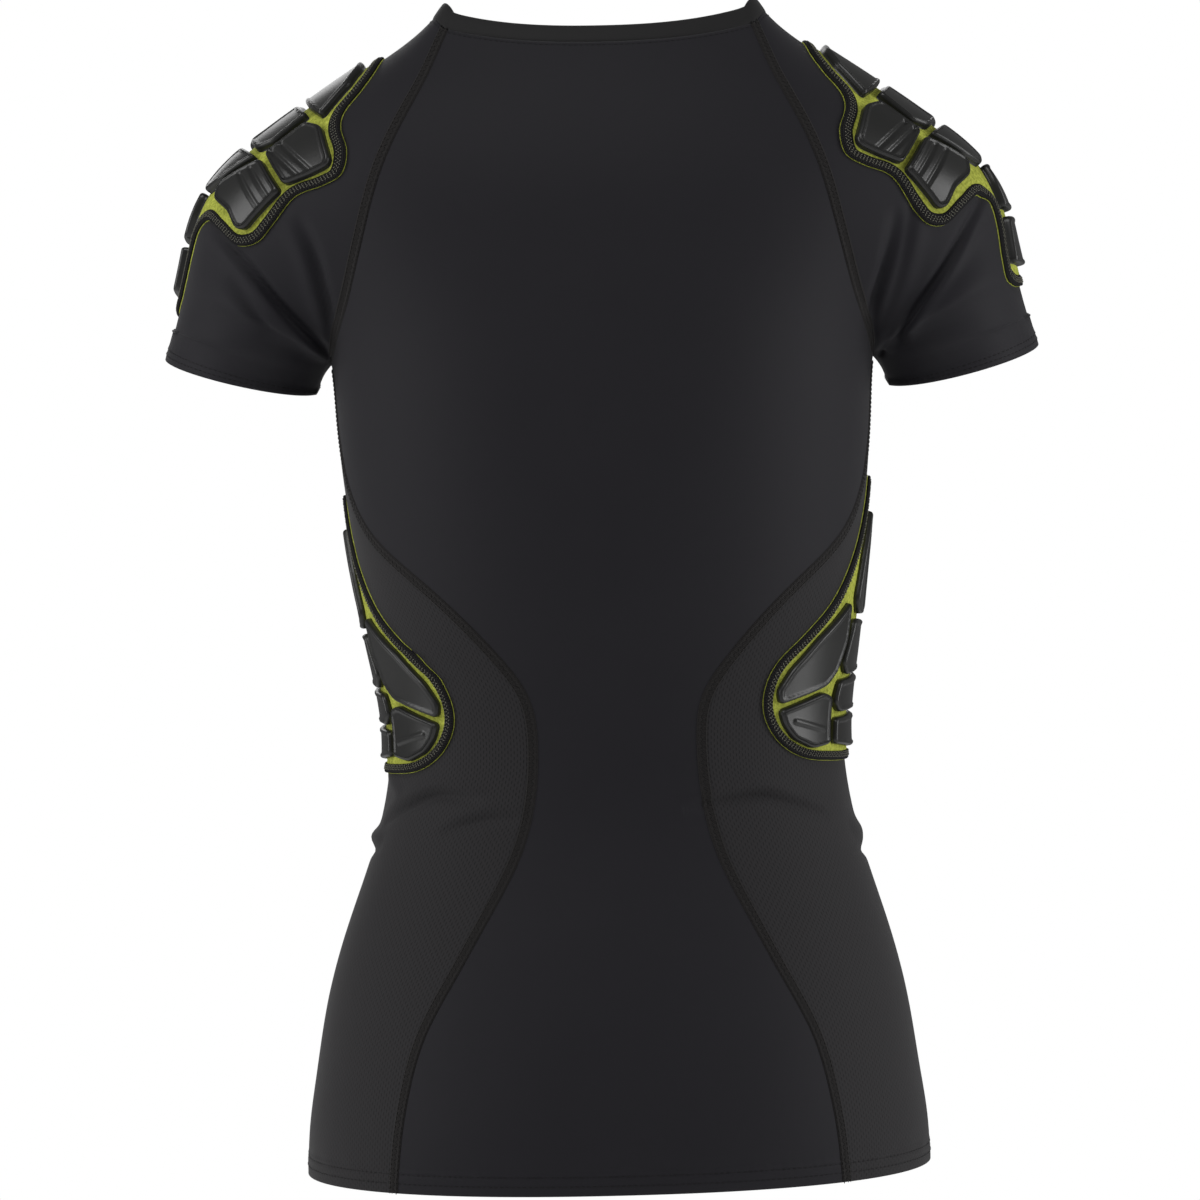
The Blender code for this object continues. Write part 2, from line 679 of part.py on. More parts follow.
def sleeve_placer(label, side):
    """Lays a pad on a sleeve, and gives the sleeve's own points in the pad's flat coordinates."""
    slide, turn = SHOULDER_PLACING[label]
    _, grid = sleeve_grid()
    along, sideways = sleeve_flat(grid)

    def turned(along_pad):
        return turn * np.maximum(along_pad - SHOULDER_MIDDLE, 0) ** 2 / SHOULDER_BEND

    def placing(flat):
        return flat + np.stack([np.full(len(flat), slide), turned(flat[:, 0])], axis=1)

    own = along[:, None] + 0 * sideways - slide
    knots = np.stack([own, sideways - turned(own)], axis=-1).reshape(-1, 2)
    return placer(along, sideways, grid, side, placing, 1), knots


def rib_placer(label, side):
    """Lays a pad on the ribs, and gives evenly spaced points in its flat coordinates."""
    shift = np.array(RIB_PLACING[label])
    heights = np.arange(*RIB_GRID_HEIGHTS, RIB_GRID)
    angles = np.linspace(-RIB_GRID_ANGLE, RIB_GRID_ANGLE, RIB_GRID_COLUMNS + 1)
    grid = np.array([torso_point(angles, np.full(len(angles), height)) for height in heights])
    step = np.linalg.norm(np.diff(grid, axis=1), axis=2)
    sideways = np.concatenate([np.zeros((len(grid), 1)), np.cumsum(step, axis=1)], axis=1)
    middle = RIB_GRID_COLUMNS // 2
    sideways -= sideways[:, middle : middle + 1]
    knots = np.stack([heights[:, None] + 0 * sideways, sideways], axis=-1).reshape(-1, 2) - shift
    return placer(heights, sideways, grid, side, lambda flat: flat + shift, -1), knots


def closed_curve(points):
    """A smooth closed outline through points, at even spacing."""
    points = np.array(points, float)
    before = np.roll(points, 1, axis=0)
    after = np.roll(points, -1, axis=0)
    beyond = np.roll(points, -2, axis=0)
    square = 2 * before - 5 * points + 4 * after - beyond
    cube = 3 * points - before - 3 * after + beyond
    fine = []
    for t in np.linspace(0, 1, CURVE_STEPS, endpoint=False):
        fine.append(points + ((after - before) * t + square * t**2 + cube * t**3) / 2)
    return even(np.array(fine).transpose(1, 0, 2).reshape(-1, 2), OUTLINE_SPACING)


def even(outline, spacing):
    """Points at even spacing along a closed outline."""
    loop = np.concatenate([outline, outline[:1]])
    run = np.concatenate([[0], np.cumsum(np.linalg.norm(np.diff(loop, axis=0), axis=1))])
    at = np.linspace(0, run[-1], max(6, round(run[-1] / spacing)), endpoint=False)
    return np.stack([np.interp(at, run, loop[:, k]) for k in (0, 1)], axis=1)


def rounded(points, like):
    """A straight-sided outline with each corner cut once, and the sides that are long in like divided."""
    cut = []
    sides = zip(points, np.roll(points, -1, axis=0), np.roll(like, -1, axis=0) - like)
    for start, end, side in sides:
        share = min(CORNER_CUT, CORNER_CUT_LENGTH / np.linalg.norm(end - start))
        stops = [share, 1 - share]
        if np.linalg.norm(side) > LONG_SIDE:
            stops = [share, 0.5, 1 - share]
        cut += [start + (end - start) * stop for stop in stops]
    return np.array(cut)


def area(outline):
    """The area of a closed outline, plus where it runs anticlockwise."""
    x, y = outline.T
    return 0.5 * np.sum(x * np.roll(y, -1) - np.roll(x, -1) * y)


def drawn_in(outline, distance):
    """An outline moved inwards by a distance, along its corners' bisectors."""
    ahead = unit(np.roll(outline, -1, axis=0) - outline)
    behind = np.roll(ahead, 1, axis=0)
    turn = np.sign(area(outline))
    normals = [np.stack([-d[:, 1], d[:, 0]], axis=1) * turn for d in (ahead, behind)]
    middle = unit(normals[0] + normals[1])
    mitre = np.maximum(np.sum(middle * normals[0], axis=1), MITRE_LIMIT)
    return outline + middle * (distance / mitre)[:, None]


def holds(outline, point):
    """Whether a closed outline goes round a point."""
    x, y = (outline - point).T
    next_x, next_y = np.roll(x, -1), np.roll(y, -1)
    crossing = (y > 0) != (next_y > 0)
    safe = np.where(crossing, next_y - y, 1)
    return np.count_nonzero(crossing & (x - y * (next_x - x) / safe > 0)) % 2 == 1


def reach(outline, point):
    """The distance from a point to the nearest side of a closed outline."""
    side = np.roll(outline, -1, axis=0) - outline
    share = np.sum((point - outline) * side, axis=1) / np.sum(side * side, axis=1)
    foot = outline + np.clip(share, 0, 1)[:, None] * side
    return np.linalg.norm(foot - point, axis=1).min()


def filled(outline, knots):
    """Triangles over an outline, with the knots that lie well inside it."""
    low, high = outline.min(axis=0), outline.max(axis=0)
    inside = []
    for point in knots[np.all((knots > low) & (knots < high), axis=1)]:
        if holds(outline, point) and reach(outline, point) > KNOT_MARGIN:
            inside.append(point)
    points = np.array(list(outline) + inside)
    count = len(outline)
    edges = [(k, (k + 1) % count) for k in range(count)]
    found = delaunay_2d_cdt([tuple(p) for p in points], edges, [], 0, 1e-6)
    corners = np.array([tuple(v) for v in found[0]])
    match = [int(np.argmin(np.linalg.norm(points - c, axis=1))) for c in corners]
    faces = []
    for face in found[2]:
        face = [match[k] for k in face]
        flat = abs(area(points[face])) < SLIVER_AREA
        if not flat and holds(outline, points[face].mean(axis=0)):
            faces.append(tuple(face))
    return points, faces


def sag(points, faces, place):
    """The most that flat triangles over a curved cloth dip towards it, at their middles and sides."""
    ground = place(points, np.zeros(len(points)))
    dips = []
    for face in map(list, faces):
        for part in (face, face[:2], face[1:], face[::2]):
            middle = place(points[part].mean(axis=0)[None], [0])[0]
            dips.append(np.linalg.norm(middle - ground[part].mean(axis=0)))
    return max(dips)


def foam(name, outline, place, knots, finish):
    """The foam sheet under a pad's tiles."""
    points, faces = filled(outline, knots)
    low, high = (place(points, np.full(len(points), h)) for h in FOAM_HEIGHTS)
    return wall_of(name, high, low, faces, finish)


def border(name, outline, place, finish):
    """The edging sewn on the foam sheet, as a flat ring near its edge."""
    rings = []
    for inset, height in (
        (BORDER_INSETS[0], BORDER_HEIGHTS[0]),
        (BORDER_INSETS[0], BORDER_HEIGHTS[1]),
        (BORDER_INSETS[1], BORDER_HEIGHTS[1]),
        (BORDER_INSETS[1], BORDER_HEIGHTS[0]),
    ):
        rings.append(place(drawn_in(outline, inset), np.full(len(outline), height)))
    faces = closed_tube(len(rings), len(outline))
    return object_of(name, np.concatenate(rings), faces, finish)


def tile(name, corners, place, knots, heights, finish):
    """A moulded tile: an upright side, a bevel round its top, and a top that follows the cloth."""
    corners = np.array(corners, float)
    outline = rounded(corners, corners)
    foot, foot_faces = filled(outline, knots)
    cap, cap_faces = filled(rounded(drawn_in(corners, TILE_BEVEL), corners), knots)
    count = len(outline)
    clear = max(TILE_FOOT, FOAM_HEIGHTS[1] + TILE_GAP + sag(foot, foot_faces, place))
    layers = [
        place(foot, np.full(len(foot), clear)),
        place(outline, np.full(count, heights[0])),
        place(cap, np.full(len(cap), heights[1])),
    ]
    wall = len(foot)
    crown = wall + count
    faces = [tuple(reversed(face)) for face in foot_faces]
    faces += [tuple(crown + k for k in face) for face in cap_faces]
    for k in range(count):
        j = (k + 1) % count
        faces.append((k, j, wall + j, wall + k))
        faces.append((wall + k, wall + j, crown + j, crown + k))
    return object_of(name, np.concatenate(layers), faces, finish)


def flipped(points):
    return [(a, -b) for a, b in points]


def whole(half):
    """A centred outline from its half on the back side, first and last points on the middle."""
    return list(half) + flipped(half[-2:0:-1])


def shoulder_pad(label, side):
    place, knots = sleeve_placer(label, side)
    outline = closed_curve(whole(SHOULDER_OUTLINE))
    foam("shoulder_foam_" + label, outline, place, knots, foam_green)
    border("shoulder_border_" + label, outline, place, knit_border)
    pads = {}
    for name, points in SHOULDER_CENTRES.items():
        pads[name] = whole(points)
    for name, points in SHOULDER_PAIRS.items():
        pads[name + "_back"] = points
        pads[name + "_front"] = flipped(points)
    for name, points in pads.items():
        tile(f"shoulder_tile_{label}_{name}", points, place, knots, SHOULDER_TILE_HEIGHTS, moulded)


def rib_pad(label, side):
    place, knots = rib_placer(label, side)
    outline = closed_curve(RIB_OUTLINE)
    foam("rib_foam_" + label, outline, place, knots, foam_green)
    border("rib_border_" + label, outline, place, knit_border)
    pads = dict(RIB_SINGLES)
    for name, points in RIB_PAIRS.items():
        pads[name + "_back"] = points
        pads[name + "_front"] = [(a, RIB_FRONT_SHIFT - b) for a, b in points]
    for name, points in pads.items():
        tile(f"rib_tile_{label}_{name}", points, place, knots, RIB_TILE_HEIGHTS, moulded)


def clear_scene():
    for old in list(bpy.data.objects):
        bpy.data.objects.remove(old)


clear_scene()
SHIRT = bpy.data.collections.new("padded_compression_shirt")
bpy.context.scene.collection.children.link(SHIRT)

jersey = material("black_jersey", (0.018, 0.017, 0.021), 0.75)
mesh_knit = material("mesh_knit", (0.030, 0.029, 0.031), 0.85)
band_jersey = material("band_jersey", (0.020, 0.020, 0.022), 0.75)
foam_green = material("foam_green", (0.38, 0.42, 0.045), 0.8)
knit_border = material("knit_border", (0.020, 0.020, 0.020), 0.7)
moulded = material("moulded_black", (0.030, 0.030, 0.030), 0.3)

torso_wall("back_panel", panel_rows("back", BACK_COLUMNS), 1, jersey)
torso_wall("front_panel", panel_rows("front", FRONT_COLUMNS), 1, jersey)
for side, label in ((1, "left"), (-1, "right")):
    torso_wall("side_panel_" + label, side_rows(), side, mesh_knit)
    sleeve_wall("sleeve_" + label, side, jersey)
    shoulder_pad(label, side)
    rib_pad(label, side)
neck_band(band_jersey)
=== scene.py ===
# %% [markdown]
# # A padded compression shirt
#
# The real shirt is knitted stretch cloth, cut into two long panels, two mesh side panels and two
# raglan sleeves, sewn edge to edge with flat seams. Four moulded pads lie on it. The imported model
# gives every piece its place, so the first step loads it and keeps each piece where it stands. Each
# piece is then made again, finer, over the solid that stands for it.

import math

import bpy
import numpy as np
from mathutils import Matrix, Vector
from mathutils.geometry import delaunay_2d_cdt


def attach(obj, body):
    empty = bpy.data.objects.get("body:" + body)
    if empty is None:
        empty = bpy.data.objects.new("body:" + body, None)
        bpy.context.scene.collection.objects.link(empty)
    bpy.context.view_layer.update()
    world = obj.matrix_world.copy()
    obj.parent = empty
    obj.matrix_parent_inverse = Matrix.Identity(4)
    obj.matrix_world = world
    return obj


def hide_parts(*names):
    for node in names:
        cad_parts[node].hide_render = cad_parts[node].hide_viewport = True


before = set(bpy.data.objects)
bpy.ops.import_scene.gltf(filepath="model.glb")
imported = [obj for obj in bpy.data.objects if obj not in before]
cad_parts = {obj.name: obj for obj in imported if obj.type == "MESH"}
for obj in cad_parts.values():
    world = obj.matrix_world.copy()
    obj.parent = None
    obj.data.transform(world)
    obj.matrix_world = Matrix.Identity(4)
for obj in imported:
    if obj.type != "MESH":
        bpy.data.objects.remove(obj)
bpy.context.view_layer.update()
MM = 0.001
SIDES = {"left": 1, "right": -1}

# %% [markdown]
# A garment's shape is easiest to read as short tables: a row for each height, a column for each
# size. A smooth curve through the rows then gives every size in between. The body is a stack of
# level superellipses, and the numbers are the ones that the solids are made from, in millimetres.

# %% Tables read on a smooth curve
class Table:
    """Rows of sizes, read between the rows on a natural cubic spline. The first column is the place."""

    def __init__(self, names, rows):
        self.names = names.split()
        table = np.array(rows, float)
        self.at = table[:, 0]
        self.values = table[:, 1:]
        step = np.diff(self.at)
        slope = np.diff(self.values, axis=0) / step[:, None]
        system = np.eye(len(table))
        right = np.zeros_like(self.values)
        for i in range(1, len(table) - 1):
            system[i, i - 1 : i + 2] = (step[i - 1], 2 * (step[i - 1] + step[i]), step[i])
            right[i] = 6 * (slope[i] - slope[i - 1])
        self.bend = np.linalg.solve(system, right)

    def __call__(self, name, at):
        column = self.names.index(name)
        at = np.clip(np.asarray(at, float), self.at[0], self.at[-1])
        k = np.clip(np.searchsorted(self.at, at) - 1, 0, len(self.at) - 2)
        h = self.at[k + 1] - self.at[k]
        low = (self.at[k + 1] - at) / h
        high = (at - self.at[k]) / h
        curve = (low**3 - low) * self.bend[k, column] + (high**3 - high) * self.bend[k + 1, column]
        return low * self.values[k, column] + high * self.values[k + 1, column] + curve * h * h / 6


HEM_HEIGHT = -610.0
UNDERARM_HEIGHT = -176.0
torso = Table("half_width back_depth front_depth squareness", [
    (-610, 167.0, 120.0, 103.0, 2.25),
    (-590, 166.5, 121.0, 103.0, 2.25),
    (-560, 162.5, 117.0, 103.0, 2.25),
    (-520, 156.0, 109.0, 101.0, 2.20),
    (-480, 145.3, 99.0, 97.0, 2.20),
    (-440, 132.0, 89.0, 92.0, 2.20),
    (-400, 123.3, 83.5, 88.0, 2.20),
    (-370, 122.5, 84.0, 90.0, 2.20),
    (-330, 128.5, 90.0, 99.0, 2.20),
    (-290, 134.5, 97.0, 113.0, 2.20),
    (-250, 140.0, 102.0, 123.0, 2.20),
    (-210, 143.5, 105.0, 121.0, 2.20),
    (-176, 146.0, 106.0, 112.0, 2.25),
    (-150, 153.0, 105.5, 103.0, 2.30),
    (-120, 167.0, 103.0, 92.0, 2.40),
    (-90, 176.0, 99.5, 81.0, 2.50),
    (-60, 177.0, 91.0, 71.0, 2.50),
    (-35, 165.0, 80.0, 61.0, 2.40),
    (-10, 145.0, 66.0, 50.0, 2.20),
    (15, 128.0, 52.0, 40.0, 2.20),
])
side_seams = Table("back front", [
    (-610, 48.0, 44.0),
    (-590, 48.5, 44.5),
    (-560, 49.5, 46.0),
    (-530, 52.0, 48.0),
    (-500, 57.5, 50.5),
    (-470, 63.0, 53.0),
    (-440, 68.0, 55.5),
    (-410, 70.5, 57.0),
    (-380, 71.0, 57.0),
    (-355, 69.0, 55.0),
    (-335, 62.5, 50.0),
    (-315, 53.5, 43.0),
    (-295, 41.5, 35.0),
    (-275, 27.0, 26.0),
    (-250, 15.0, 17.0),
    (-215, 8.0, 9.0),
    (-176, 5.5, 5.5),
])
raglan = Table("back_x back_z front_x front_z crease", [
    (0.0, 145.4, -176, 145.4, -176, 160.0),
    (0.1, 140.5, -162, 140.5, -163, 84.0),
    (0.2, 134.5, -146, 134.5, -149, 42.0),
    (0.3, 129.2, -128, 127.0, -133, 20.0),
    (0.4, 124.2, -109.5, 120.0, -117, 9.0),
    (0.5, 118.8, -90, 113.0, -101, 3.0),
    (0.6, 111.5, -70, 105.0, -85, 0.0),
    (0.7, 102.4, -51, 97.0, -69, 0.0),
    (0.8, 93.8, -34, 89.0, -53, 0.0),
    (0.9, 87.5, -18.5, 81.0, -38, 0.0),
    (1.0, 82.0, -4, 74.0, -24, 0.0),
])
outer_line = Table("x y z fullness", [
    (-1.0, 236.5, -14.0, -171.0, 1.10),
    (-0.5, 231.5, -11.0, -155.0, 1.12),
    (0.0, 225.5, -8.0, -137.0, 1.13),
    (0.1, 221.0, -7.0, -118.0, 1.12),
    (0.2, 216.0, -6.0, -98.5, 1.10),
    (0.3, 206.0, -4.5, -81.0, 1.08),
    (0.4, 191.5, -3.0, -66.5, 1.06),
    (0.5, 174.5, -1.5, -54.5, 1.04),
    (0.6, 157.0, 0.0, -43.0, 1.02),
    (0.7, 138.7, 1.5, -31.2, 1.00),
    (0.8, 120.5, 3.0, -20.0, 1.00),
    (0.9, 103.0, 4.5, -9.5, 1.00),
    (1.0, 87.5, 5.0, 0.0, 1.00),
])
inner_line = Table("x y z lean", [
    (-1.0, 155.0, -12.0, -191.0, 10.0),
    (-0.5, 151.5, -6.0, -183.0, 6.0),
    (0.0, 146.4, 0.0, -176.0, 0.0),
])
stance = Table("shift tilt", [
    (-640, -10.5, 0.030),
    (-520, -9.0, 0.012),
    (-400, -9.0, 0.002),
    (-300, -4.5, 0.006),
    (-200, -1.2, 0.016),
    (-100, 0.8, 0.020),
    (20, 0.8, 0.020),
])
print("tables: the waist is", round(2 * float(torso("half_width", -380))), "mm wide")

# %% [markdown]
# A point on the body needs only an angle round it and a height. The stance, a slight shift of the
# hips and tilt of the shoulders, is put on last, so that left and right can share one table.

# %% The torso form
def unit(v):
    return v / np.linalg.norm(v, axis=-1, keepdims=True)


def lengths(points):
    """How far along a line of points each one lies."""
    return np.concatenate([[0], np.cumsum(np.linalg.norm(np.diff(points, axis=0), axis=1))])


def row_lengths(points):
    """How far along its own row each point of a grid lies."""
    step = np.linalg.norm(np.diff(points, axis=1), axis=2)
    return np.concatenate([np.zeros((len(points), 1)), np.cumsum(step, axis=1)], axis=1)


def torso_point(angle, height):
    """A point of the torso: the angle is in degrees from the left side line, plus to the back."""
    angle, height = np.broadcast_arrays(np.asarray(angle, float), np.asarray(height, float))
    power = 2 / torso("squareness", height)
    c = np.cos(np.radians(angle))
    s = np.sin(np.radians(angle))
    depth = np.where(s >= 0, torso("back_depth", height), torso("front_depth", height))
    x = torso("half_width", height) * np.sign(c) * np.abs(c) ** power
    y = depth * np.sign(s) * np.abs(s) ** power
    return np.stack([x, y, height], axis=-1)


def torso_normal(angle, height):
    turn = 0.5
    rise = 1.0
    along = torso_point(angle + turn, height) - torso_point(angle - turn, height)
    up = torso_point(angle, height + rise) - torso_point(angle, height - rise)
    return unit(np.cross(along, up))


def stand(points):
    """The stance put on finished points."""
    moved = np.array(points, float)
    height = moved[..., 2].copy()
    sideways = moved[..., 0].copy()
    moved[..., 0] += stance("shift", height)
    moved[..., 2] -= sideways * stance("tilt", height)
    return moved


def mirrored(points, side):
    return points * np.array([side, 1, 1])


# %% [markdown]
# A raglan sleeve runs right up to the neck, so its edges are the raglan seams, which lie on the
# body form. From each seam a round arc goes out to the sleeve's outer line, and below the underarm
# a narrow strip closes the tube.

# %% The sleeve form
UNDERARM_HALF_GUSSET = 12.0
SLEEVE_LEAD_ANGLE = 77.0
UNDERARM_BOW = 8.0


def seam_angle(part, side):
    """The raglan seam as (angle, height); part runs from 0 at the underarm to 1 at the neck."""
    height = raglan(side + "_z", part)
    wide = torso("half_width", height)
    power = torso("squareness", height) / 2
    angle = np.degrees(np.arccos(np.clip((raglan(side + "_x", part) / wide) ** power, 0, 1)))
    angle = np.where(np.asarray(part) <= 0, side_seams(side, height), angle)
    return (angle, height) if side == "back" else (-angle, height)


def arc(start, end, leave, arrive, share, fullness=1.0):
    """Points on a round arc from start to end, given the unit directions at its two ends."""
    turn = math.acos(float(np.clip(np.dot(leave, arrive), -1, 1)))
    swell = fullness * np.linalg.norm(end - start) / math.cos(turn / 4) ** 2
    t = np.asarray(share, float)[..., None]
    keep_end = 3 * t**2 - 2 * t**3
    bulge = (t**3 - 2 * t**2 + t) * leave + (t**3 - t**2) * arrive
    return (1 - keep_end) * start + keep_end * end + swell * bulge


def sleeve_frame(part):
    """Where a section of the left sleeve starts, ends and turns."""
    outer = np.array([outer_line(k, part) for k in "xyz"])
    low = min(part, 0)
    if part >= 0:
        back = torso_point(*seam_angle(part, "back"))
        front = torso_point(*seam_angle(part, "front"))
    else:
        inner = np.array([inner_line(k, low) for k in "xyz"])
        lean = math.radians(inner_line("lean", low))
        depth = UNDERARM_HALF_GUSSET * np.array([0, math.cos(lean), -math.sin(lean)])
        back = inner + depth
        front = inner - depth
    across = unit(back - front)
    out = outer - (back + front) / 2
    out = unit(out - across * np.dot(out, across))
    leads = []
    for way, side in ((across, "back"), (-across, "front")):
        lead = math.radians(SLEEVE_LEAD_ANGLE)
        if part >= 0:
            normal = torso_normal(*seam_angle(part, side))
            turn = math.atan(-np.dot(out, normal) / np.dot(way, normal))
            lead = min(turn + math.radians(raglan("crease", part)), lead)
        leads.append(math.cos(lead) * out + math.sin(lead) * way)
    return back, front, outer, across, out, leads


def sleeve_section(part, shares):
    """Points across the left sleeve: 1 is the back seam, 0 the outer line, -1 the front seam."""
    back, front, outer, across, _, leads = sleeve_frame(part)
    fullness = float(outer_line("fullness", part))
    to_back = arc(back, outer, leads[0], -across, 1 - np.abs(shares), fullness)
    to_front = arc(front, outer, leads[1], across, 1 - np.abs(shares), fullness)
    return np.where((shares >= 0)[:, None], to_back, to_front)


def underarm_section(part, shares):
    """Points under the left arm, from the back seam (0) to the front seam (1)."""
    back, front, _, across, out, _ = sleeve_frame(part)
    dip = -math.radians(UNDERARM_BOW * max(0, 1 + 3 * part))
    leave = -(math.cos(dip) * across) - math.sin(dip) * out
    arrive = -(math.cos(dip) * across) + math.sin(dip) * out
    return arc(back, front, unit(leave), unit(arrive), shares)


# %% [markdown]
# Worn stretch cloth is smooth over the body and creases only where the body bends: at the waist
# and from the underarm across the sleeve. Each crease is a bent line with a row in a table, and no
# two are alike. A cloth simulation would settle them at random, so they are listed one by one.
# Cloth that folds dips sharply on one side and swells softly on the other, and so does the relief here.

# %% Creases
WAIST_CREASES = [
    # half width, depth (below zero is a ridge), then the angle and height of each point
    (2.8, 3.6, [(12, -426), (22, -419.5), (32, -413.5), (40, -408.5), (47, -408), (58, -412)]),
    (2.8, 2.3, [(44, -429), (51, -425), (57, -421.5), (62, -420), (70, -421)]),
    (2.8, 3.4, [(103, -416), (111, -411.5), (121, -408), (127, -409), (134, -413.5), (150, -422)]),
    (4.5, -1.5, [(4, -397), (14, -402), (25, -411)]),
    (4.5, -1.4, [(138, -411), (146, -414), (156, -415.5), (170, -416)]),
    (5.0, -2.4, [(-20, -431), (0, -434), (16, -436)]),
    (3.2, 1.9, [(-16, -442), (0, -441), (17, -438)]),
    (3.2, 1.9, [(164, -440), (180, -442), (196, -440)]),
    (5.0, -1.8, [(162, -428), (180, -430), (198, -432)]),
    (2.4, 1.5, [(31, -331), (39, -336), (52, -343)]),
    (2.4, 1.2, [(39, -344), (46, -348), (57, -353)]),
    (2.9, 3.1, [(-64, -416), (-52, -412), (-40, -413), (-28, -418), (-16, -426)]),
    (3.0, 1.2, [(-97, -420), (-84, -418), (-72, -422)]),
    (2.9, 2.9, [(-156, -426), (-142, -419), (-130, -414), (-116, -413)]),
    (2.8, 1.2, [(-123, -406), (-110, -403), (-98, -404)]),
]
SLEEVE_CREASES = {
    # half width, depth, then how far along and across the sleeve each point is
    "left": [
        (2.7, 4.2, [(210, 165), (202, 141), (197, 118), (189, 98), (177, 78), (170, 59), (164, 40)]),
        (3.6, 3.4, [(206, 150), (187, 125), (163, 119), (148, 109), (138, 92)]),
        (3.6, 1.6, [(217, 112), (204, 92), (196, 80), (184, 62)]),
        (2.9, 3.6, [(212, -160), (204, -134), (194, -110), (182, -90), (168, -58)]),
        (3.4, 2.6, [(200, -146), (178, -122), (156, -106)]),
    ],
    "right": [
        (2.5, 3.6, [(232, 150), (208, 119), (195, 104), (180, 78), (163, 56), (153, 30)]),
        (4.0, 4.4, [(202, 150), (190, 128), (169, 118), (153, 108), (138, 96)]),
        (3.6, 2.4, [(196, 126), (181, 112), (165, 105), (150, 96), (138, 84)]),
        (2.9, 3.3, [(222, -150), (200, -112), (186, -86), (172, -64)]),
        (3.6, 3.0, [(204, -150), (172, -120), (152, -104), (138, -90)]),
    ],
}
DEGREE = 2.2
EDGE_FADE = 6.0


def flowing(points, steps=8):
    """Places along a soft line through a few points."""
    points = np.array(points, float)
    known = np.arange(len(points))
    at = np.linspace(0, len(points) - 1, steps * (len(points) - 1) + 1)
    line = np.stack([np.interp(at, known, points[:, k]) for k in (0, 1)], axis=1)
    for _ in range(3 * steps):
        line[1:-1] = (line[:-2] + 2 * line[1:-1] + line[2:]) / 4
    return line


def fold(u, v, width, deep, line):
    """How far one crease sinks the cloth at flat places, given as millimetres u and v."""
    way = unit(np.gradient(line, axis=0))
    off = np.stack([u, v], axis=-1)[..., None, :] - line
    near = np.argmin(np.sum(off * off, axis=-1), axis=-1)
    off = np.take_along_axis(off, near[..., None, None], axis=-2)[..., 0, :]
    side = off[..., 1] * way[near, 0] - off[..., 0] * way[near, 1]
    fade = np.sin(np.pi * near / (len(line) - 1)) ** 0.8
    sunk = np.exp(-((side / width) ** 2))
    if deep > 0:
        sunk = sunk - 0.45 * np.exp(-(((side - 2.1 * width) / (1.5 * width)) ** 2))
    return deep * fade * sunk


def waist_depth(angles, heights):
    depth = np.zeros(np.shape(heights))
    for width, deep, points in WAIST_CREASES:
        line = flowing(points) * (DEGREE, 1)
        middle = line[:, 0].mean() / DEGREE
        turned = middle + (angles - middle + 180) % 360 - 180
        depth += fold(turned * DEGREE, heights, width, deep, line)
    return depth


def sleeve_depth(along, sideways, label):
    depth = np.zeros(np.shape(sideways))
    for width, deep, points in SLEEVE_CREASES[label]:
        depth += fold(along, sideways, width, deep, flowing(points))
    reach = np.minimum(sideways[:, :1] - sideways, sideways - sideways[:, -1:])
    return depth * np.clip(reach / EDGE_FADE, 0, 1)


# %% [markdown]
# The bottom hem and the cuffs are folded up inside and stitched. From outside that shows as a
# slightly thicker border, a shallow groove along the stitches, and faint puckers beside them.

# %% Hems
HEM_WIDTH = 11.0
CUFF_WIDTH = 7.5
HEM_RISE = 0.45
PUCKER_LENGTH = 3.4
PUCKER_HEIGHT = 0.10


def hem_relief(from_edge, around, width):
    """How far a hem stands proud, at a distance from the edge and a length round it."""
    step = np.clip((from_edge - width - 0.6) / 0.35, -30, 30)
    rise = HEM_RISE / (1 + np.exp(step))
    groove = 0.3 * np.exp(-(((from_edge - width + 1.2) / 1.1) ** 2))
    reach = np.exp(-(((from_edge - width) / 5.0) ** 2))
    return rise - groove + PUCKER_HEIGHT * reach * np.cos(2 * np.pi * around / PUCKER_LENGTH)


def torso_cloth(angles, heights, side=1):
    """Points and normals of the torso cloth as it stands, for the left or the mirrored side."""
    angles = np.asarray(angles, float)
    heights = np.asarray(heights, float)
    body_angles = angles if side == 1 else 180 - angles
    normals = torso_normal(angles, heights)
    around = np.radians(body_angles) * torso("half_width", heights)
    lift = hem_relief(heights - HEM_HEIGHT, around, HEM_WIDTH) - waist_depth(body_angles, heights)
    points = torso_point(angles, heights) + lift[..., None] * normals
    return stand(mirrored(points, side)), mirrored(normals, side)


# %% [markdown]
# Every cloth piece is laid out as a grid. A small class keeps a grid's points and normals, and
# reads any place between them, by grid position or by flat millimetres. Pads, seams and stitches
# use it to lie on the cloth exactly, whatever the cloth does.

# %% A cloth grid that can be read anywhere
def grid_normals(points, ring=False):
    along = np.gradient(points, axis=0)
    if ring:
        wrapped = np.concatenate([points[:, -1:], points, points[:, :1]], axis=1)
        sideways = (wrapped[:, 2:] - wrapped[:, :-2]) / 2
    else:
        sideways = np.gradient(points, axis=1)
    return unit(np.cross(along, sideways))


def sample(grid, row, column):
    """A grid read between its points, at fractional rows and columns."""
    row = np.clip(row, 0, grid.shape[0] - 1.001)
    column = np.clip(column, 0, grid.shape[1] - 1.001)
    r = row.astype(int)
    c = column.astype(int)
    u = (row - r)[..., None]
    v = (column - c)[..., None]
    low = grid[r, c] * (1 - v) + grid[r, c + 1] * v
    high = grid[r + 1, c] * (1 - v) + grid[r + 1, c + 1] * v
    return low * (1 - u) + high * u


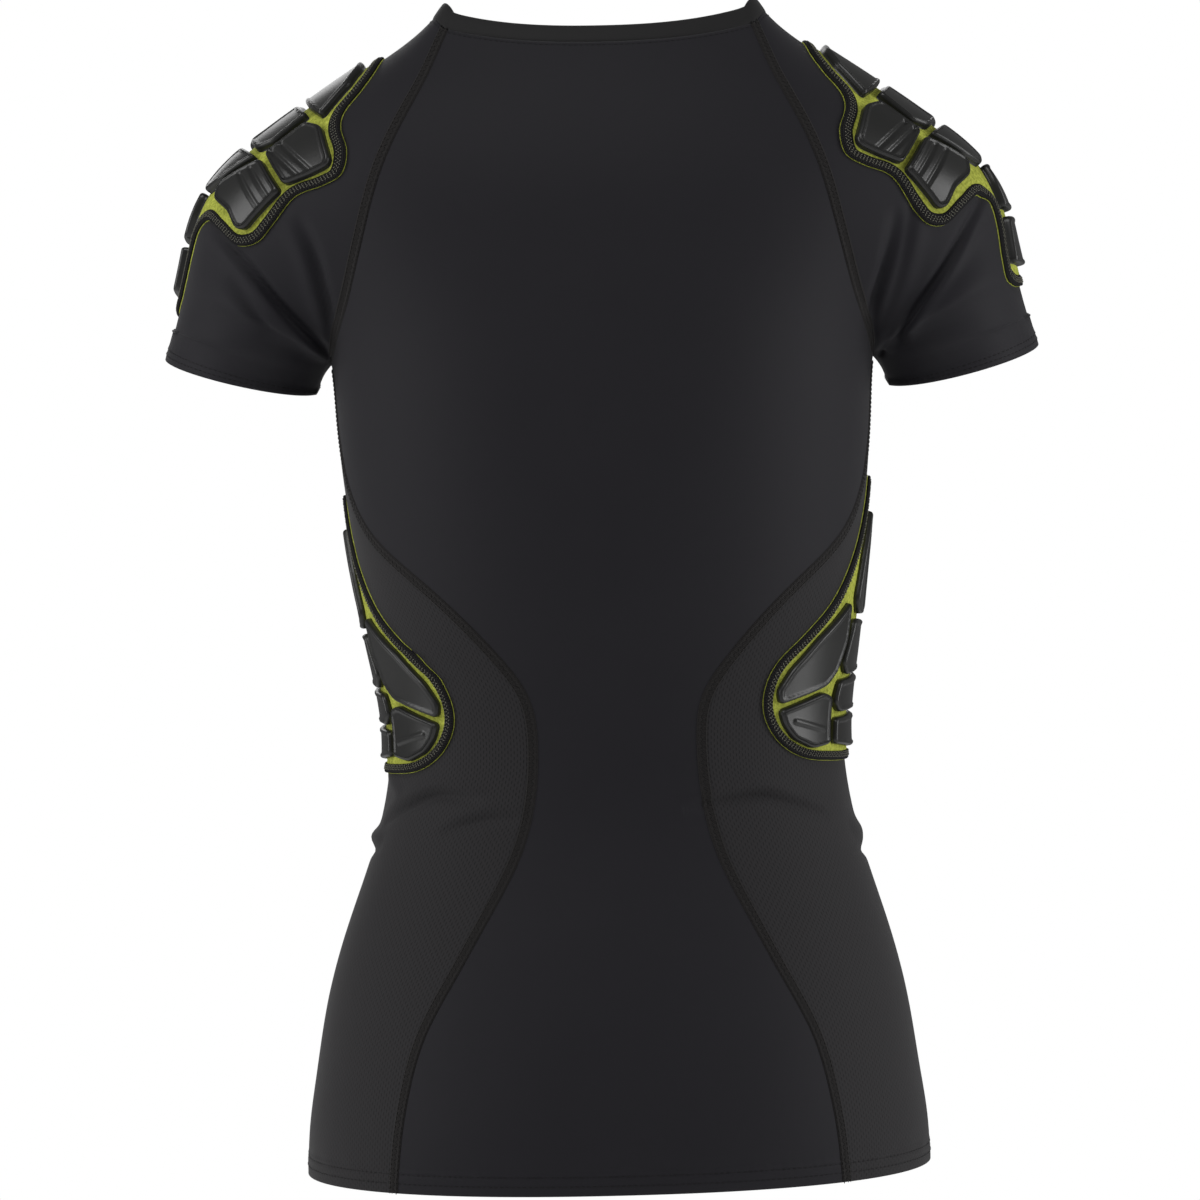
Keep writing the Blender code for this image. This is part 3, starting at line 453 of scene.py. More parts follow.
class Laid:
    """Cloth laid out flat: rows at lengths along, and points at even lengths across."""

    STEP = 1.5

    def __init__(self, along, across, points, normals):
        order = np.argsort(along)
        self.along = along[order]
        self.low = across.min()
        even = np.arange(self.low, across.max(), self.STEP)
        rows = []
        for r in order:
            turned = np.argsort(across[r])
            both = np.concatenate([points[r], normals[r]], axis=1)[turned]
            rows.append([np.interp(even, across[r][turned], column) for column in both.T])
        self.grid = np.array(rows).transpose(0, 2, 1)

    def at(self, flat, heights=0.0):
        """Points at flat places, raised off the cloth, and the normals there."""
        row = np.interp(flat[:, 0], self.along, np.arange(len(self.along)))
        read = sample(self.grid, row, (flat[:, 1] - self.low) / self.STEP)
        normals = unit(read[:, 3:])
        return read[:, :3] + np.reshape(heights, (-1, 1)) * normals, normals


# %% [markdown]
# A cloth piece is a thin closed shell: the outer face, the same face moved in by the cloth's
# thickness, and a rim between them. Building it directly keeps each seam gap as it is, where a
# Solidify modifier would push the walls into each other. Its UV map holds flat millimetres.

# %% Making meshes
CLOTH_WALL = 1.2


def grid_faces(rows, columns, ring=False):
    r = np.arange(rows - 1)[:, None] * columns
    c = np.arange(columns if ring else columns - 1)[None, :]
    right = (c + 1) % columns
    faces = [r + c, r + right, r + columns + right, r + columns + c]
    return np.stack(faces, axis=-1).reshape(-1, 4).tolist()


def ring_faces(low, high, count):
    """Faces between two rings of points, given where each ring starts."""
    following = [(k + 1) % count for k in range(count)]
    return [[low + i, low + j, high + j, high + i] for i, j in enumerate(following)]


def standing(name, mesh):
    """An object at the origin that holds a finished mesh."""
    made = bpy.data.objects.new(name, mesh)
    bpy.context.scene.collection.objects.link(made)
    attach(made, "root")
    return made


def piece(name, points, faces, finish, flat=None):
    """A mesh object from points in millimetres, its faces turned outwards."""
    points = np.asarray(points, float)
    volume = 0.0
    for size in (3, 4):
        of_size = np.array([face for face in faces if len(face) == size])
        for k in range(1, size - 1) if len(of_size) else ():
            a, b, c = (points[of_size[:, i]] for i in (0, k, k + 1))
            volume += np.sum(a * np.cross(b, c))
    if volume < 0:
        faces = [face[::-1] for face in faces]
    mesh = bpy.data.meshes.new(name)
    mesh.from_pydata((points * MM).tolist(), [], faces)
    if flat is not None:
        corners = np.empty(len(mesh.loops), int)
        mesh.loops.foreach_get("vertex_index", corners)
        layer = mesh.uv_layers.new(name="flat")
        layer.data.foreach_set("uv", (np.asarray(flat)[corners] * MM).ravel())
    mesh.materials.append(finish)
    mesh.shade_smooth()
    return standing(name, mesh)


def shell(name, outer, inner, faces, finish, flat):
    """A closed wall between two faces that share their layout."""
    count = len(outer)
    open_edges = set()
    for face in faces:
        for i, j in zip(face, face[1:] + face[:1]):
            if (j, i) in open_edges:
                open_edges.remove((j, i))
            else:
                open_edges.add((i, j))
    solid = faces + [[count + i for i in reversed(face)] for face in faces]
    solid += [[j, i, count + i, count + j] for i, j in sorted(open_edges)]
    both = np.concatenate([flat, flat])
    return piece(name, np.concatenate([outer, inner]), solid, finish, both)


# %% [markdown]
# Node trees are easier to read as sums. This class wraps one socket, so that `1 - mask * 0.5`
# adds the Math nodes by itself, and one method adds any other node with its settings and inputs.

# %% Node trees written as Python
class Value:
    """A number in a node tree. A sum of values adds the Math nodes that work it out."""

    def __init__(self, graph, socket):
        self.graph = graph
        self.socket = socket

    def math(self, operation, *others, clamp=False):
        settings = {"operation": operation, "use_clamp": clamp}
        node = self.graph.node("ShaderNodeMath", settings, dict(enumerate([self, *others])))
        return Value(self.graph, node.outputs[0])

    def __add__(self, other):
        return self.math("ADD", other)

    def __sub__(self, other):
        return self.math("SUBTRACT", other)

    def __mul__(self, other):
        return self.math("MULTIPLY", other)

    def __truediv__(self, other):
        return self.math("DIVIDE", other)

    def __rsub__(self, other):
        return (self * -1) + other

    __radd__ = __add__
    __rmul__ = __mul__

    def wave(self):
        """Goes from -1 to 1 and back for each whole step."""
        return (self * math.tau).math("COSINE")

    def clipped(self):
        return self.math("ADD", 0, clamp=True)


class Graph:
    """A node tree that is built up a node at a time."""

    def __init__(self, tree):
        self.tree = tree

    def node(self, kind, settings=None, inputs=None):
        node = self.tree.nodes.new(kind)
        for name, value in (settings or {}).items():
            setattr(node, name, value)
        for name, value in (inputs or {}).items():
            socket = node.inputs[name]
            value = getattr(value, "socket", value)
            if isinstance(value, bpy.types.NodeSocket):
                self.tree.links.new(value, socket)
            else:
                socket.default_value = value
        return node

    def value(self, kind, output, settings=None, inputs=None):
        return Value(self, self.node(kind, settings, inputs).outputs[output])


class Finish(Graph):
    """A material in the making."""

    def __init__(self, name, roughness, **constants):
        self.material = bpy.data.materials.new(name)
        self.material.use_nodes = True
        super().__init__(self.material.node_tree)
        self.shader = self.tree.nodes["Principled BSDF"]
        self.shader.inputs["Roughness"].default_value = roughness
        for name, value in constants.items():
            self.shader.inputs[name.replace("_", " ")].default_value = value

    def flat(self):
        """The flat place on the cloth as (across, along), in millimetres."""
        place = self.node("ShaderNodeUVMap", {"uv_map": "flat"}).outputs[0]
        split = self.node("ShaderNodeSeparateXYZ", None, {0: place})
        return Value(self, split.outputs[0]) * 1000, Value(self, split.outputs[1]) * 1000

    def place(self):
        return self.node("ShaderNodeTexCoord").outputs["Object"]

    def noise(self, scale, detail=2.0):
        """Soft noise from 0 to 1 with about this many lumps a metre."""
        inputs = {"Vector": self.place(), "Scale": scale, "Detail": detail}
        return self.value("ShaderNodeTexNoise", "Fac", None, inputs)

    def mix(self, share, low, high):
        colours = {"Factor": share, "A": (*low, 1), "B": (*high, 1)}
        node = self.tree.nodes.new("ShaderNodeMix")
        node.data_type = "RGBA"
        for socket in node.inputs:
            if socket.enabled and socket.name in colours:
                value = colours[socket.name]
                if isinstance(value, Value):
                    self.tree.links.new(value.socket, socket)
                else:
                    socket.default_value = value
        return [socket for socket in node.outputs if socket.enabled][0]

    def wire(self, name, value):
        self.tree.links.new(getattr(value, "socket", value), self.shader.inputs[name])

    def bump(self, height, distance):
        """Relief whose height runs from 0 to 1, this many metres deep."""
        inputs = {"Height": height, "Distance": distance, "Strength": 1.0}
        self.wire("Normal", self.node("ShaderNodeBump", None, inputs).outputs[0])


# %% [markdown]
# Three knits make the shirt. The jersey is dense, with wales half a millimetre wide. The mesh at
# the sides is knitted with rows of small upright slits, too many to cut, so they are dimples with painted
# shade in them.
# The binding at the neck is the jersey again, a little greyer.

# %% Knitted finishes
JERSEY = (0.0122, 0.0114, 0.0150)
JERSEY_LIGHT = (0.0158, 0.0149, 0.0190)
WALE = 0.62
COURSE = 0.48


def knit_height(across, along):
    """The loops of a plain knit: chevrons in upright wales."""
    wale = (across / WALE).math("FRACT") - 0.5
    lean = wale.math("ABSOLUTE") * 1.1
    loop = (along / COURSE + lean).wave() * 0.5 + 0.5
    return loop * 0.6 + (wale.math("ABSOLUTE") * -0.8 + 0.4)


def jersey_finish(name, low, high):
    finish = Finish(name, 0.62, Specular_IOR_Level=0.22, Sheen_Weight=0.10, Sheen_Roughness=0.45)
    across, along = finish.flat()
    blotch = finish.noise(14.0, 3.0)
    finish.wire("Base Color", finish.mix(blotch, low, high))
    finish.wire("Roughness", blotch * 0.08 + 0.58)
    finish.bump(knit_height(across, along), 0.00004)
    return finish.material


def mesh_finish():
    pitch_across = 1.7
    pitch_along = 3.1
    finish = Finish("slit_mesh", 0.7, Specular_IOR_Level=0.2, Sheen_Weight=0.12, Sheen_Roughness=0.5)
    across, along = finish.flat()
    column = across / pitch_across
    odd = (column.math("FLOOR") * 0.5).math("FRACT")
    u = (column.math("FRACT") - 0.5) * pitch_across
    v = ((along / pitch_along + odd).math("FRACT") - 0.5) * pitch_along
    wide = (u / 0.29).math("POWER", 2)
    tall = (v / 0.95).math("POWER", 2)
    hole = (1.6 - wide - tall).clipped()
    wobble = finish.noise(260.0) * 0.5 + 0.6
    hole = (hole * wobble).clipped()
    rib = (column + 0.5).wave() * 0.3 + 0.5
    # The slits are painted near-black, which is painted shade in the openings, over the mesh's own dark
    # colour.
    finish.wire("Base Color", finish.mix(hole, (0.0238, 0.0224, 0.0244), (0.0068, 0.0064, 0.0070)))
    finish.bump(rib * 0.35 + (1 - hole) * 0.65, 0.00011)
    return finish.material


jersey = jersey_finish("dense_jersey", JERSEY, JERSEY_LIGHT)
band_jersey = jersey_finish("binding_jersey", (0.0132, 0.0128, 0.0132), (0.0160, 0.0156, 0.0160))
mesh_knit = mesh_finish()
print("knits:", jersey.name, band_jersey.name, mesh_knit.name)

# %% [markdown]
# The front and back run from hem to neck, with the side seams cutting them to an hourglass. A
# panel is a list of rows, each from one seam to the other, and rows lie closer where cloth folds.

# %% Front and back panels
SEAM_GAP = 0.36
BACK_NECK_DROP = 11.0
FRONT_NECK_DROP = 50.0
NECK_DROP_SPREAD = 2.4
PANEL_TOP_WIDTH = 250.0
ROW_BANDS = [(-610, -594, 0.8), (-594, -470, 4.0), (-470, -380, 1.6), (-380, -176, 4.0)]
PANEL_COLUMNS = 110
RAGLAN_ROWS = 60


def body_heights():
    bands = []
    for low, high, step in ROW_BANDS:
        bands.append(np.linspace(low, high, round((high - low) / step), endpoint=False))
    return np.concatenate(bands)


def across(start, end, columns, length):
    trim = SEAM_GAP / 2 / length * (end - start)
    return np.linspace(start + trim, end - trim, columns + 1)


def neck_row(part, side, columns):
    """A row of a panel between the raglan seams, sagging to the neckline near the top."""
    angle, height = seam_angle(part, side)
    angle = abs(float(angle))
    angles = across(angle, 180 - angle, columns, PANEL_TOP_WIDTH)
    drop = BACK_NECK_DROP if side == "back" else FRONT_NECK_DROP
    middle = 1 - np.cos(np.radians(angles)) ** 2 / math.cos(math.radians(angle)) ** 2
    heights = float(height) - drop * part**NECK_DROP_SPREAD * middle
    return angles * (1 if side == "back" else -1), heights


def panel_rows(side, columns):
    rows = []
    for height in body_heights():
        start = float(side_seams(side, height))
        angles = across(start, 180 - start, columns, 2 * float(torso("half_width", height)))
        rows.append((angles * (1 if side == "back" else -1), np.full(len(angles), height)))
    for part in np.linspace(0, 1, RAGLAN_ROWS + 1):
        rows.append(neck_row(part, side, columns))
    return rows


def flat_torso(points, heights):
    """Flat places of rows of cloth: lengths across from the middle, and heights."""
    run = row_lengths(points)
    return np.stack([run - run[:, -1:] / 2, heights], axis=-1)


def torso_piece(name, rows, side, finish):
    angles = np.array([row[0] for row in rows])
    heights = np.array([row[1] for row in rows])
    points, normals = torso_cloth(angles, heights, side)
    flat = flat_torso(points, heights).reshape(-1, 2)
    inner = points - CLOTH_WALL * normals
    faces = grid_faces(*angles.shape)
    ends = points.reshape(-1, 3), inner.reshape(-1, 3)
    made = shell(name + "_cloth", *ends, faces, finish, flat)
    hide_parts(name)
    return made


back_panel = torso_piece("back_panel", panel_rows("back", PANEL_COLUMNS), 1, jersey)
front_panel = torso_piece("front_panel", panel_rows("front", PANEL_COLUMNS), 1, jersey)
print("panels:", len(back_panel.data.polygons), "faces each")

# %% [markdown]
# The mesh side panels are widest at the hip and end in a point under the arm. They are made like
# the other panels, from seam to seam, on the same body form, so the three meet edge to edge.

# %% Side panels
SIDE_COLUMNS = 70


def side_rows():
    rows = []
    for height in [*body_heights(), UNDERARM_HEIGHT - SEAM_GAP]:
        back = float(side_seams("back", height))
        front = float(side_seams("front", height))
        length = math.radians(back + front) * float(torso("half_width", height))
        angles = across(-front, back, SIDE_COLUMNS, length)
        rows.append((angles, np.full(len(angles), height)))
    return rows


side_panels = {}
for label, side in SIDES.items():
    side_panels[label] = torso_piece("side_panel_" + label, side_rows(), side, mesh_knit)
print("side panels:", [p.name for p in side_panels.values()])

# %% [markdown]
# A sleeve is one cloth from the front raglan seam over the shoulder to the back one. Flat places on
# it are measured along its outer line from the neck, and across from that line to the back.

# %% Sleeves
SLEEVE_WIDTH = 240.0
CUFF_PARTS = [(-1, -0.74, 9), (-0.74, 0, 8)]
SLEEVE_ROWS = 100
SLEEVE_COLUMNS = 138
UNDERARM_COLUMNS = 10


class Sleeve:
    """The grid of one sleeve, from cuff to neck, with the strip that closes it under the arm."""

    def __init__(self, label):
        self.label = label
        self.side = SIDES[label]
        bands = [np.linspace(low, high, rows, endpoint=False) for low, high, rows in CUFF_PARTS]
        self.parts = np.concatenate([*bands, np.linspace(0, 1, SLEEVE_ROWS + 1)])
        self.low = int(np.count_nonzero(self.parts < 0)) + 1
        grid = []
        for part in self.parts:
            shares = across(1, -1, SLEEVE_COLUMNS, SLEEVE_WIDTH if part >= 0 else math.inf)
            grid.append(sleeve_section(part, shares))
        grid = np.array(grid)
        strip = np.linspace(1, 0, UNDERARM_COLUMNS + 1)
        under = np.array([underarm_section(part, strip)[1:-1] for part in self.parts[: self.low]])
        normals = grid_normals(grid)
        rings = grid_normals(np.concatenate([grid[: self.low], under], axis=1), True)
        count = grid.shape[1]
        normals[: self.low - 1] = rings[:-1, :count]
        self.measure(grid)
        cuff = self.along[0] - self.along
        rise = hem_relief(cuff[:, None], self.sideways, CUFF_WIDTH)
        rise -= sleeve_depth(self.along[:, None] + 0 * self.sideways, self.sideways, label)
        below = hem_relief(cuff[: self.low, None], 0 * under[..., 0], CUFF_WIDTH)
        self.plain = normals
        self.under_normals = mirrored(rings[:, count:], self.side)
        self.under = self.placed(under + below[..., None] * rings[:, count:])
        self.points = self.placed(grid + rise[..., None] * normals)
        self.normals = mirrored(normals, self.side)

    def placed(self, points):
        return stand(mirrored(points, self.side))

    def measure(self, grid):
        spine = grid.shape[1] // 2
        self.along = lengths(grid[::-1, spine])[::-1]
        run = row_lengths(grid)
        self.sideways = run[:, spine : spine + 1] - run

    def at(self, part, share):
        """Cloth at a part and a share, as points and normals."""
        row = np.interp(part, self.parts, np.arange(len(self.parts)))
        column = (1 - share) / 2 * (self.points.shape[1] - 1)
        return sample(self.points, row, column), unit(sample(self.normals, row, column))

    def mesh(self, finish):
        rows, count = self.points.shape[:2]
        faces = grid_faces(rows, count)
        strip = UNDERARM_COLUMNS - 1
        start = rows * count
        for row in range(self.low - 1):
            lines = []
            for r in (row, row + 1):
                middle = [start + r * strip + k for k in range(strip)]
                lines.append([r * count + count - 1, *middle, r * count])
            for k in range(strip + 1):
                faces.append([lines[0][k], lines[0][k + 1], lines[1][k + 1], lines[1][k]])
        outer = np.concatenate([self.points.reshape(-1, 3), self.under.reshape(-1, 3)])
        lift = np.concatenate([self.normals.reshape(-1, 3), self.under_normals.reshape(-1, 3)])
        along = self.along[:, None] + 0 * self.sideways
        flat = np.stack([self.sideways, along], axis=-1).reshape(-1, 2)
        gusset = np.stack([
            self.sideways[: self.low, -1:] + np.linspace(0, -20, strip)[None, :],
            along[: self.low, :strip],
        ], axis=-1).reshape(-1, 2)
        name = "sleeve_" + self.label
        inner = outer - CLOTH_WALL * lift
        made = shell(name + "_cloth", outer, inner, faces, finish, np.concatenate([flat, gusset]))
        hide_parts(name)
        return made


sleeves = {label: Sleeve(label) for label in SIDES}
sleeve_pieces = {label: sleeve.mesh(jersey) for label, sleeve in sleeves.items()}
print("sleeves:", round(float(sleeves["left"].along[0])), "mm along the outer line")

# %% [markdown]
# The neck is bound with a folded strip of jersey. Its section is a soft roll, carried round the top
# edges of the four pieces that meet there.

# %% Neck band
NECK_BAND_WIDTH = 10.0
NECK_BAND_WALL = 2.4
NECK_BAND_LEAN = 0.35
BAND_SECTION = [
    # shares of the band's width upwards and of its wall inwards
    (-0.06, 0.05), (0.0, -0.10), (0.12, -0.16), (0.5, -0.14), (0.85, -0.02), (0.96, 0.15),
    (1.0, 0.4), (0.98, 0.68), (0.9, 0.9), (0.5, 1.0), (0.1, 1.0), (0.0, 0.85),
]


def neck_edges():
    """The top edges round the neck in order, each with the row of cloth below it."""
    below = 1 - 1 / RAGLAN_ROWS
    back = [torso_cloth(*neck_row(part, "back", PANEL_COLUMNS))[0] for part in (1, below)]
    front = [torso_cloth(*neck_row(part, "front", PANEL_COLUMNS))[0] for part in (1, below)]
    right = sleeves["right"].points[[-1, -2]]
    left = sleeves["left"].points[[-1, -2]]
    order = [
        [row[1:-1] for row in back],
        [row[::3] for row in right],
        [row[::-1][1:-1] for row in front],
        [row[::-1][::3] for row in left],
    ]
    return [np.concatenate(rows) for rows in zip(*order)]


def neck_band():
    edge, below = neck_edges()
    along = unit(np.roll(edge, -1, axis=0) - np.roll(edge, 1, axis=0))
    up = edge - below
    up = unit(up - along * np.sum(up * along, axis=1)[:, None])
    up = unit(up + NECK_BAND_LEAN * np.array([0, 0, 1.0]))
    for _ in range(12):
        up = unit(up + np.roll(up, 1, axis=0) + np.roll(up, -1, axis=0))
    inward = unit(np.cross(along, up))
    inward *= np.sign(np.sum(inward * (edge.mean(axis=0) - edge), axis=1))[:, None]
    foot = edge + SEAM_GAP * up
    rings = []
    for rise, depth in BAND_SECTION:
        rings.append(foot + rise * NECK_BAND_WIDTH * up + depth * NECK_BAND_WALL * inward)
    run = lengths(edge)
    flat = []
    for k in range(len(BAND_SECTION)):
        flat.append(np.stack([run, np.full(len(run), k * 2.0)], axis=1))
    faces = grid_faces(len(BAND_SECTION), len(edge), ring=True)
    last = (len(BAND_SECTION) - 1) * len(edge)
    faces += ring_faces(last, 0, len(edge))
    points = np.concatenate(rings)
    made = piece("neck_binding", points, faces, band_jersey, np.concatenate(flat))
    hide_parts("neck_band")
    return made, edge, up


band, neck_edge, neck_up = neck_band()
print("neck band:", round(float(lengths(neck_edge)[-1])), "mm round")

# %% [markdown]
# The pieces are joined by flatlock seams: the two edges butt together under a band of thread six
# millimetres wide. A band is a thin strip laid across the seam, half on each piece, so its section
# is read from both cloths and follows every crease.

# %% Flat seams
SEAM_HALF = 2.9
SEAM_SECTION = [
    # share of the half width, height above the cloth
    (1.0, -0.15), (0.96, 0.22), (0.72, 0.42), (0.36, 0.40), (0.10, 0.26),
]
SEAM_UNDER = -0.5


def torso_beside(angle, height, distance):
    """Torso angle and height, moved a distance along the cloth at right angles to a seam."""
    here = torso_point(angle, height)
    way = unit(np.gradient(here, axis=0))
    normal = torso_normal(angle, height)
    aside = np.cross(normal, way) * distance
    by_angle = torso_point(angle + 0.5, height) - torso_point(angle - 0.5, height)
    by_height = torso_point(angle, height + 0.5) - torso_point(angle, height - 0.5)
    moved = []
    for a, h, d in zip(by_angle, by_height, aside):
        moved.append(np.linalg.lstsq(np.stack([a, h], axis=1), d, rcond=None)[0])
    moved = np.array(moved)
    return angle + moved[:, 0], height + moved[:, 1]


class Seam:
    """A seam between two cloths. beside(d) gives points and normals d mm to its first or second side."""

    def __init__(self, name, beside):
        self.name = name
        self.beside = beside

    def band(self, finish):
        top = []
        for share, height in SEAM_SECTION:
            points, normals = self.beside(share * SEAM_HALF)
            top.append(points + height * normals)
        for share, height in SEAM_SECTION[::-1]:
            points, normals = self.beside(-share * SEAM_HALF)
            top.append(points + height * normals)
        for share in (-0.9, 0.9):
            points, normals = self.beside(share * SEAM_HALF)
            top.append(points + SEAM_UNDER * normals)
        ring = np.array(top).transpose(1, 0, 2)
        rows, count = ring.shape[:2]
        faces = grid_faces(rows, count, ring=True)
        faces.append(list(range(count)))
        faces.append([(rows - 1) * count + k for k in reversed(range(count))])
        run = lengths(ring[:, 0])
        wide = np.linspace(-SEAM_HALF, SEAM_HALF, count)
        flat = np.stack(np.broadcast_arrays(wide[None, :], run[:, None]), axis=-1)
        made = piece(self.name, ring.reshape(-1, 3), faces, finish, flat.reshape(-1, 2))
        return made

    def line(self, distance, height):
        points, normals = self.beside(distance)
        return points + height * normals, normals


def side_seam(label, side):
    """The seam between a side panel and the back or front panel."""
    heights = np.arange(HEM_HEIGHT + 0.4, UNDERARM_HEIGHT - 4, 2.0)
    sign = 1 if side == "back" else -1
    angles = sign * side_seams(side, heights)

    def beside(distance):
        return torso_cloth(*torso_beside(angles, heights, distance), SIDES[label])

    return Seam(f"side_seam_{label}_{side}", beside)


def raglan_seam(label, side):
    """The seam between a sleeve and the back or front panel, up to the neck."""
    sleeve = sleeves[label]
    parts = np.linspace(0.012, 0.997, 110)
    angles, heights = seam_angle(parts, side)
    end = 1 if side == "back" else -1
    first, _ = sleeve.at(parts, np.full(len(parts), end))
    near, _ = sleeve.at(parts, np.full(len(parts), end * 0.97))
    millimetre = 0.03 / np.linalg.norm(first - near, axis=1)

    def beside(distance):
        if distance < 0:
            return sleeve.at(parts, end * (1 + distance * millimetre))
        toward_panel = -distance if side == "back" else distance
        return torso_cloth(*torso_beside(angles, heights, toward_panel), SIDES[label])

    return Seam(f"raglan_seam_{label}_{side}", beside)


seam_finish = Finish("flatlock_thread", 0.70, Specular_IOR_Level=0.20, Sheen_Weight=0.10)
seam_across, seam_along = seam_finish.flat()
seam_ridges = (seam_along / 0.9 + seam_across * 0.35).wave() * 0.5 + 0.5
# The band's own colour is brown-black. It goes darker in the grooves between the thread ridges, which is
# painted shade.
seam_colour_and_groove_shade = seam_finish.mix(seam_ridges, (0.0120, 0.0106, 0.0106), (0.0185, 0.0165, 0.0162))
seam_finish.wire("Base Color", seam_colour_and_groove_shade)
seam_finish.bump(seam_ridges, 0.00012)
seams = []
for label in SIDES:
    for side in ("back", "front"):
        seams.append(side_seam(label, side))
        seams.append(raglan_seam(label, side))
seam_bands = [seam.band(seam_finish.material) for seam in seams]
print("seams:", [band_.name for band_ in seam_bands])

# %% [markdown]
# Stitches repeat along a path, which is what Geometry Nodes do best. The path is a line of edges
# that carries the cloth's own direction at each point. The tree walks it at the stitch pitch, puts
# a short round thread at each step, turned to the cloth, and slants every other one for a zigzag.

# %% A tree that sews along a path
STITCH_INPUTS = {
    "Pitch": 0.0026,
    "Length": 0.0020,
    "Thread": 0.00035,
    "Slant": 0.0,
}


def stitch_tree(finish):
    tree = bpy.data.node_groups.new("sew_along_path", "GeometryNodeTree")
    tree.interface.new_socket("Path", in_out="INPUT", socket_type="NodeSocketGeometry")
    for name, usual in STITCH_INPUTS.items():
        socket = tree.interface.new_socket(name, in_out="INPUT", socket_type="NodeSocketFloat")
        socket.default_value = usual
    tree.interface.new_socket("Stitches", in_out="OUTPUT", socket_type="NodeSocketGeometry")
    graph = Graph(tree)
    given = graph.node("NodeGroupInput").outputs
    curve = graph.node("GeometryNodeMeshToCurve", None, {"Mesh": given["Path"]})
    steps = graph.node("GeometryNodeCurveToPoints", {"mode": "LENGTH"}, {
        "Curve": curve.outputs[0], "Length": given["Pitch"],
    })
    outward = graph.node("GeometryNodeInputNamedAttribute", {"data_type": "FLOAT_VECTOR"}, {
        "Name": "outward",
    })
    facing = graph.node("FunctionNodeAxesToRotation", {"primary_axis": "Z", "secondary_axis": "X"}, {
        0: outward.outputs[0], 1: steps.outputs["Tangent"],
    })
    index = Value(graph, graph.node("GeometryNodeInputIndex").outputs[0])
    turn = (index.math("MODULO", 2) * 2 - 1) * Value(graph, given["Slant"])
    slanted = graph.node("FunctionNodeAxisAngleToRotation", None, {
        "Axis": (0, 0, 1), "Angle": turn,
    })
    rotation = graph.node("FunctionNodeRotateRotation", {"rotation_space": "LOCAL"}, {
        "Rotation": facing.outputs[0], "Rotate By": slanted.outputs[0],
    })
    bead = graph.node("GeometryNodeMeshUVSphere", None, {"Segments": 6, "Rings": 4, "Radius": 0.5})
    size = graph.node("ShaderNodeCombineXYZ", None, {
        0: given["Length"], 1: given["Thread"], 2: given["Thread"],
    })
    sewn = graph.node("GeometryNodeInstanceOnPoints", None, {
        "Points": steps.outputs["Points"],
        "Instance": bead.outputs["Mesh"],
        "Rotation": rotation.outputs[0],
        "Scale": size.outputs[0],
    })
    real = graph.node("GeometryNodeRealizeInstances", None, {"Geometry": sewn.outputs[0]})
    smooth = graph.node("GeometryNodeSetShadeSmooth", None, {"Geometry": real.outputs[0]})
    coloured = graph.node("GeometryNodeSetMaterial", None, {
        "Geometry": smooth.outputs[0], "Material": finish,
    })
    graph.node("NodeGroupOutput", None, {0: coloured.outputs[0]})
    return tree


def sew(name, paths, tree, slot, **sizes):
    """Stitches along paths, each a row of points and normals, as one plain mesh."""
    mesh = bpy.data.meshes.new(name + "_path")
    points = np.concatenate([path for path, _ in paths]) * MM
    normals = np.concatenate([normal for _, normal in paths])
    edges = []
    start = 0
    for path, _ in paths:
        edges += [(start + k, start + k + 1) for k in range(len(path) - 1)]
        start += len(path)
    mesh.from_pydata(points.tolist(), edges, [])
    outward = mesh.attributes.new("outward", "FLOAT_VECTOR", "POINT")
    outward.data.foreach_set("vector", normals.ravel())
    path = bpy.data.objects.new(name + "_path", mesh)
    bpy.context.scene.collection.objects.link(path)
    modifier = path.modifiers.new("sew", "NODES")
    modifier.node_group = tree
    for item in tree.interface.items_tree:
        if item.in_out == "INPUT" and item.name in sizes:
            modifier[item.identifier] = sizes[item.name]
    evaluated = path.evaluated_get(bpy.context.evaluated_depsgraph_get())
    sewn = bpy.data.meshes.new_from_object(evaluated)
    sewn.name = name
    bpy.data.objects.remove(path)
    made = standing(name, sewn)
    return made


def thread_finish(name, colour, roughness):
    finish = Finish(name, roughness, Specular_IOR_Level=0.3)
    fleck = finish.noise(900.0)
    darker = tuple(0.6 * c for c in colour)
    finish.wire("Base Color", finish.mix(fleck, darker, colour))
    return finish.material


black_thread = thread_finish("black_thread", (0.0080, 0.0072, 0.0074), 0.6)
sew_black = stitch_tree(black_thread)

# %% [markdown]
# Two kinds of sewing use the tree. The flat seams have a line of needle thread near each edge and
# slanted cover threads between. The hem and the cuffs have twin lines of cover stitch, and the
# neck has one line.

# %% Seam, hem, cuff and neck stitches
NEEDLE_ASIDE = 2.0
NEEDLE_HEIGHT = 0.46
COVER_HEIGHT = 0.36
STITCH_LIFT = 0.15
HEM_STITCHES = (1.2, 6.0)
CUFF_STITCHES = (1.2, 4.2)
NECK_STITCH_DROP = 2.2
seam_lines = []
cover_lines = []
for seam in seams:
    seam_lines += [seam.line(aside, NEEDLE_HEIGHT) for aside in (NEEDLE_ASIDE, -NEEDLE_ASIDE)]
    cover_lines.append(seam.line(0.0, COVER_HEIGHT))
seam_needles = sew(
    "seam_needle_stitches", seam_lines, sew_black, "black_jersey",
    Pitch=0.0024, Length=0.0019, Thread=0.00055,
)
seam_covers = sew(
    "seam_cover_stitches", cover_lines, sew_black, "black_jersey",
    Pitch=0.0017, Length=0.0026, Thread=0.00042, Slant=0.9,
)


def hem_lines(height):
    """A closed line round the bottom hem at this distance from its edge."""
    angles = np.arange(-180, 180.1, 1.0)
    points, normals = torso_cloth(angles, np.full(len(angles), HEM_HEIGHT + height))
    return points + STITCH_LIFT * normals, normals


def cuff_line(sleeve, distance):
    row = np.interp(-(sleeve.along[0] - distance), -sleeve.along, np.arange(len(sleeve.along)))
    count = sleeve.points.shape[1]
    rows = np.full(count, row)
    columns = np.arange(count, dtype=float)
    points = sample(sleeve.points, rows, columns)
    normals = unit(sample(sleeve.normals, rows, columns))
    return points + STITCH_LIFT * normals, normals


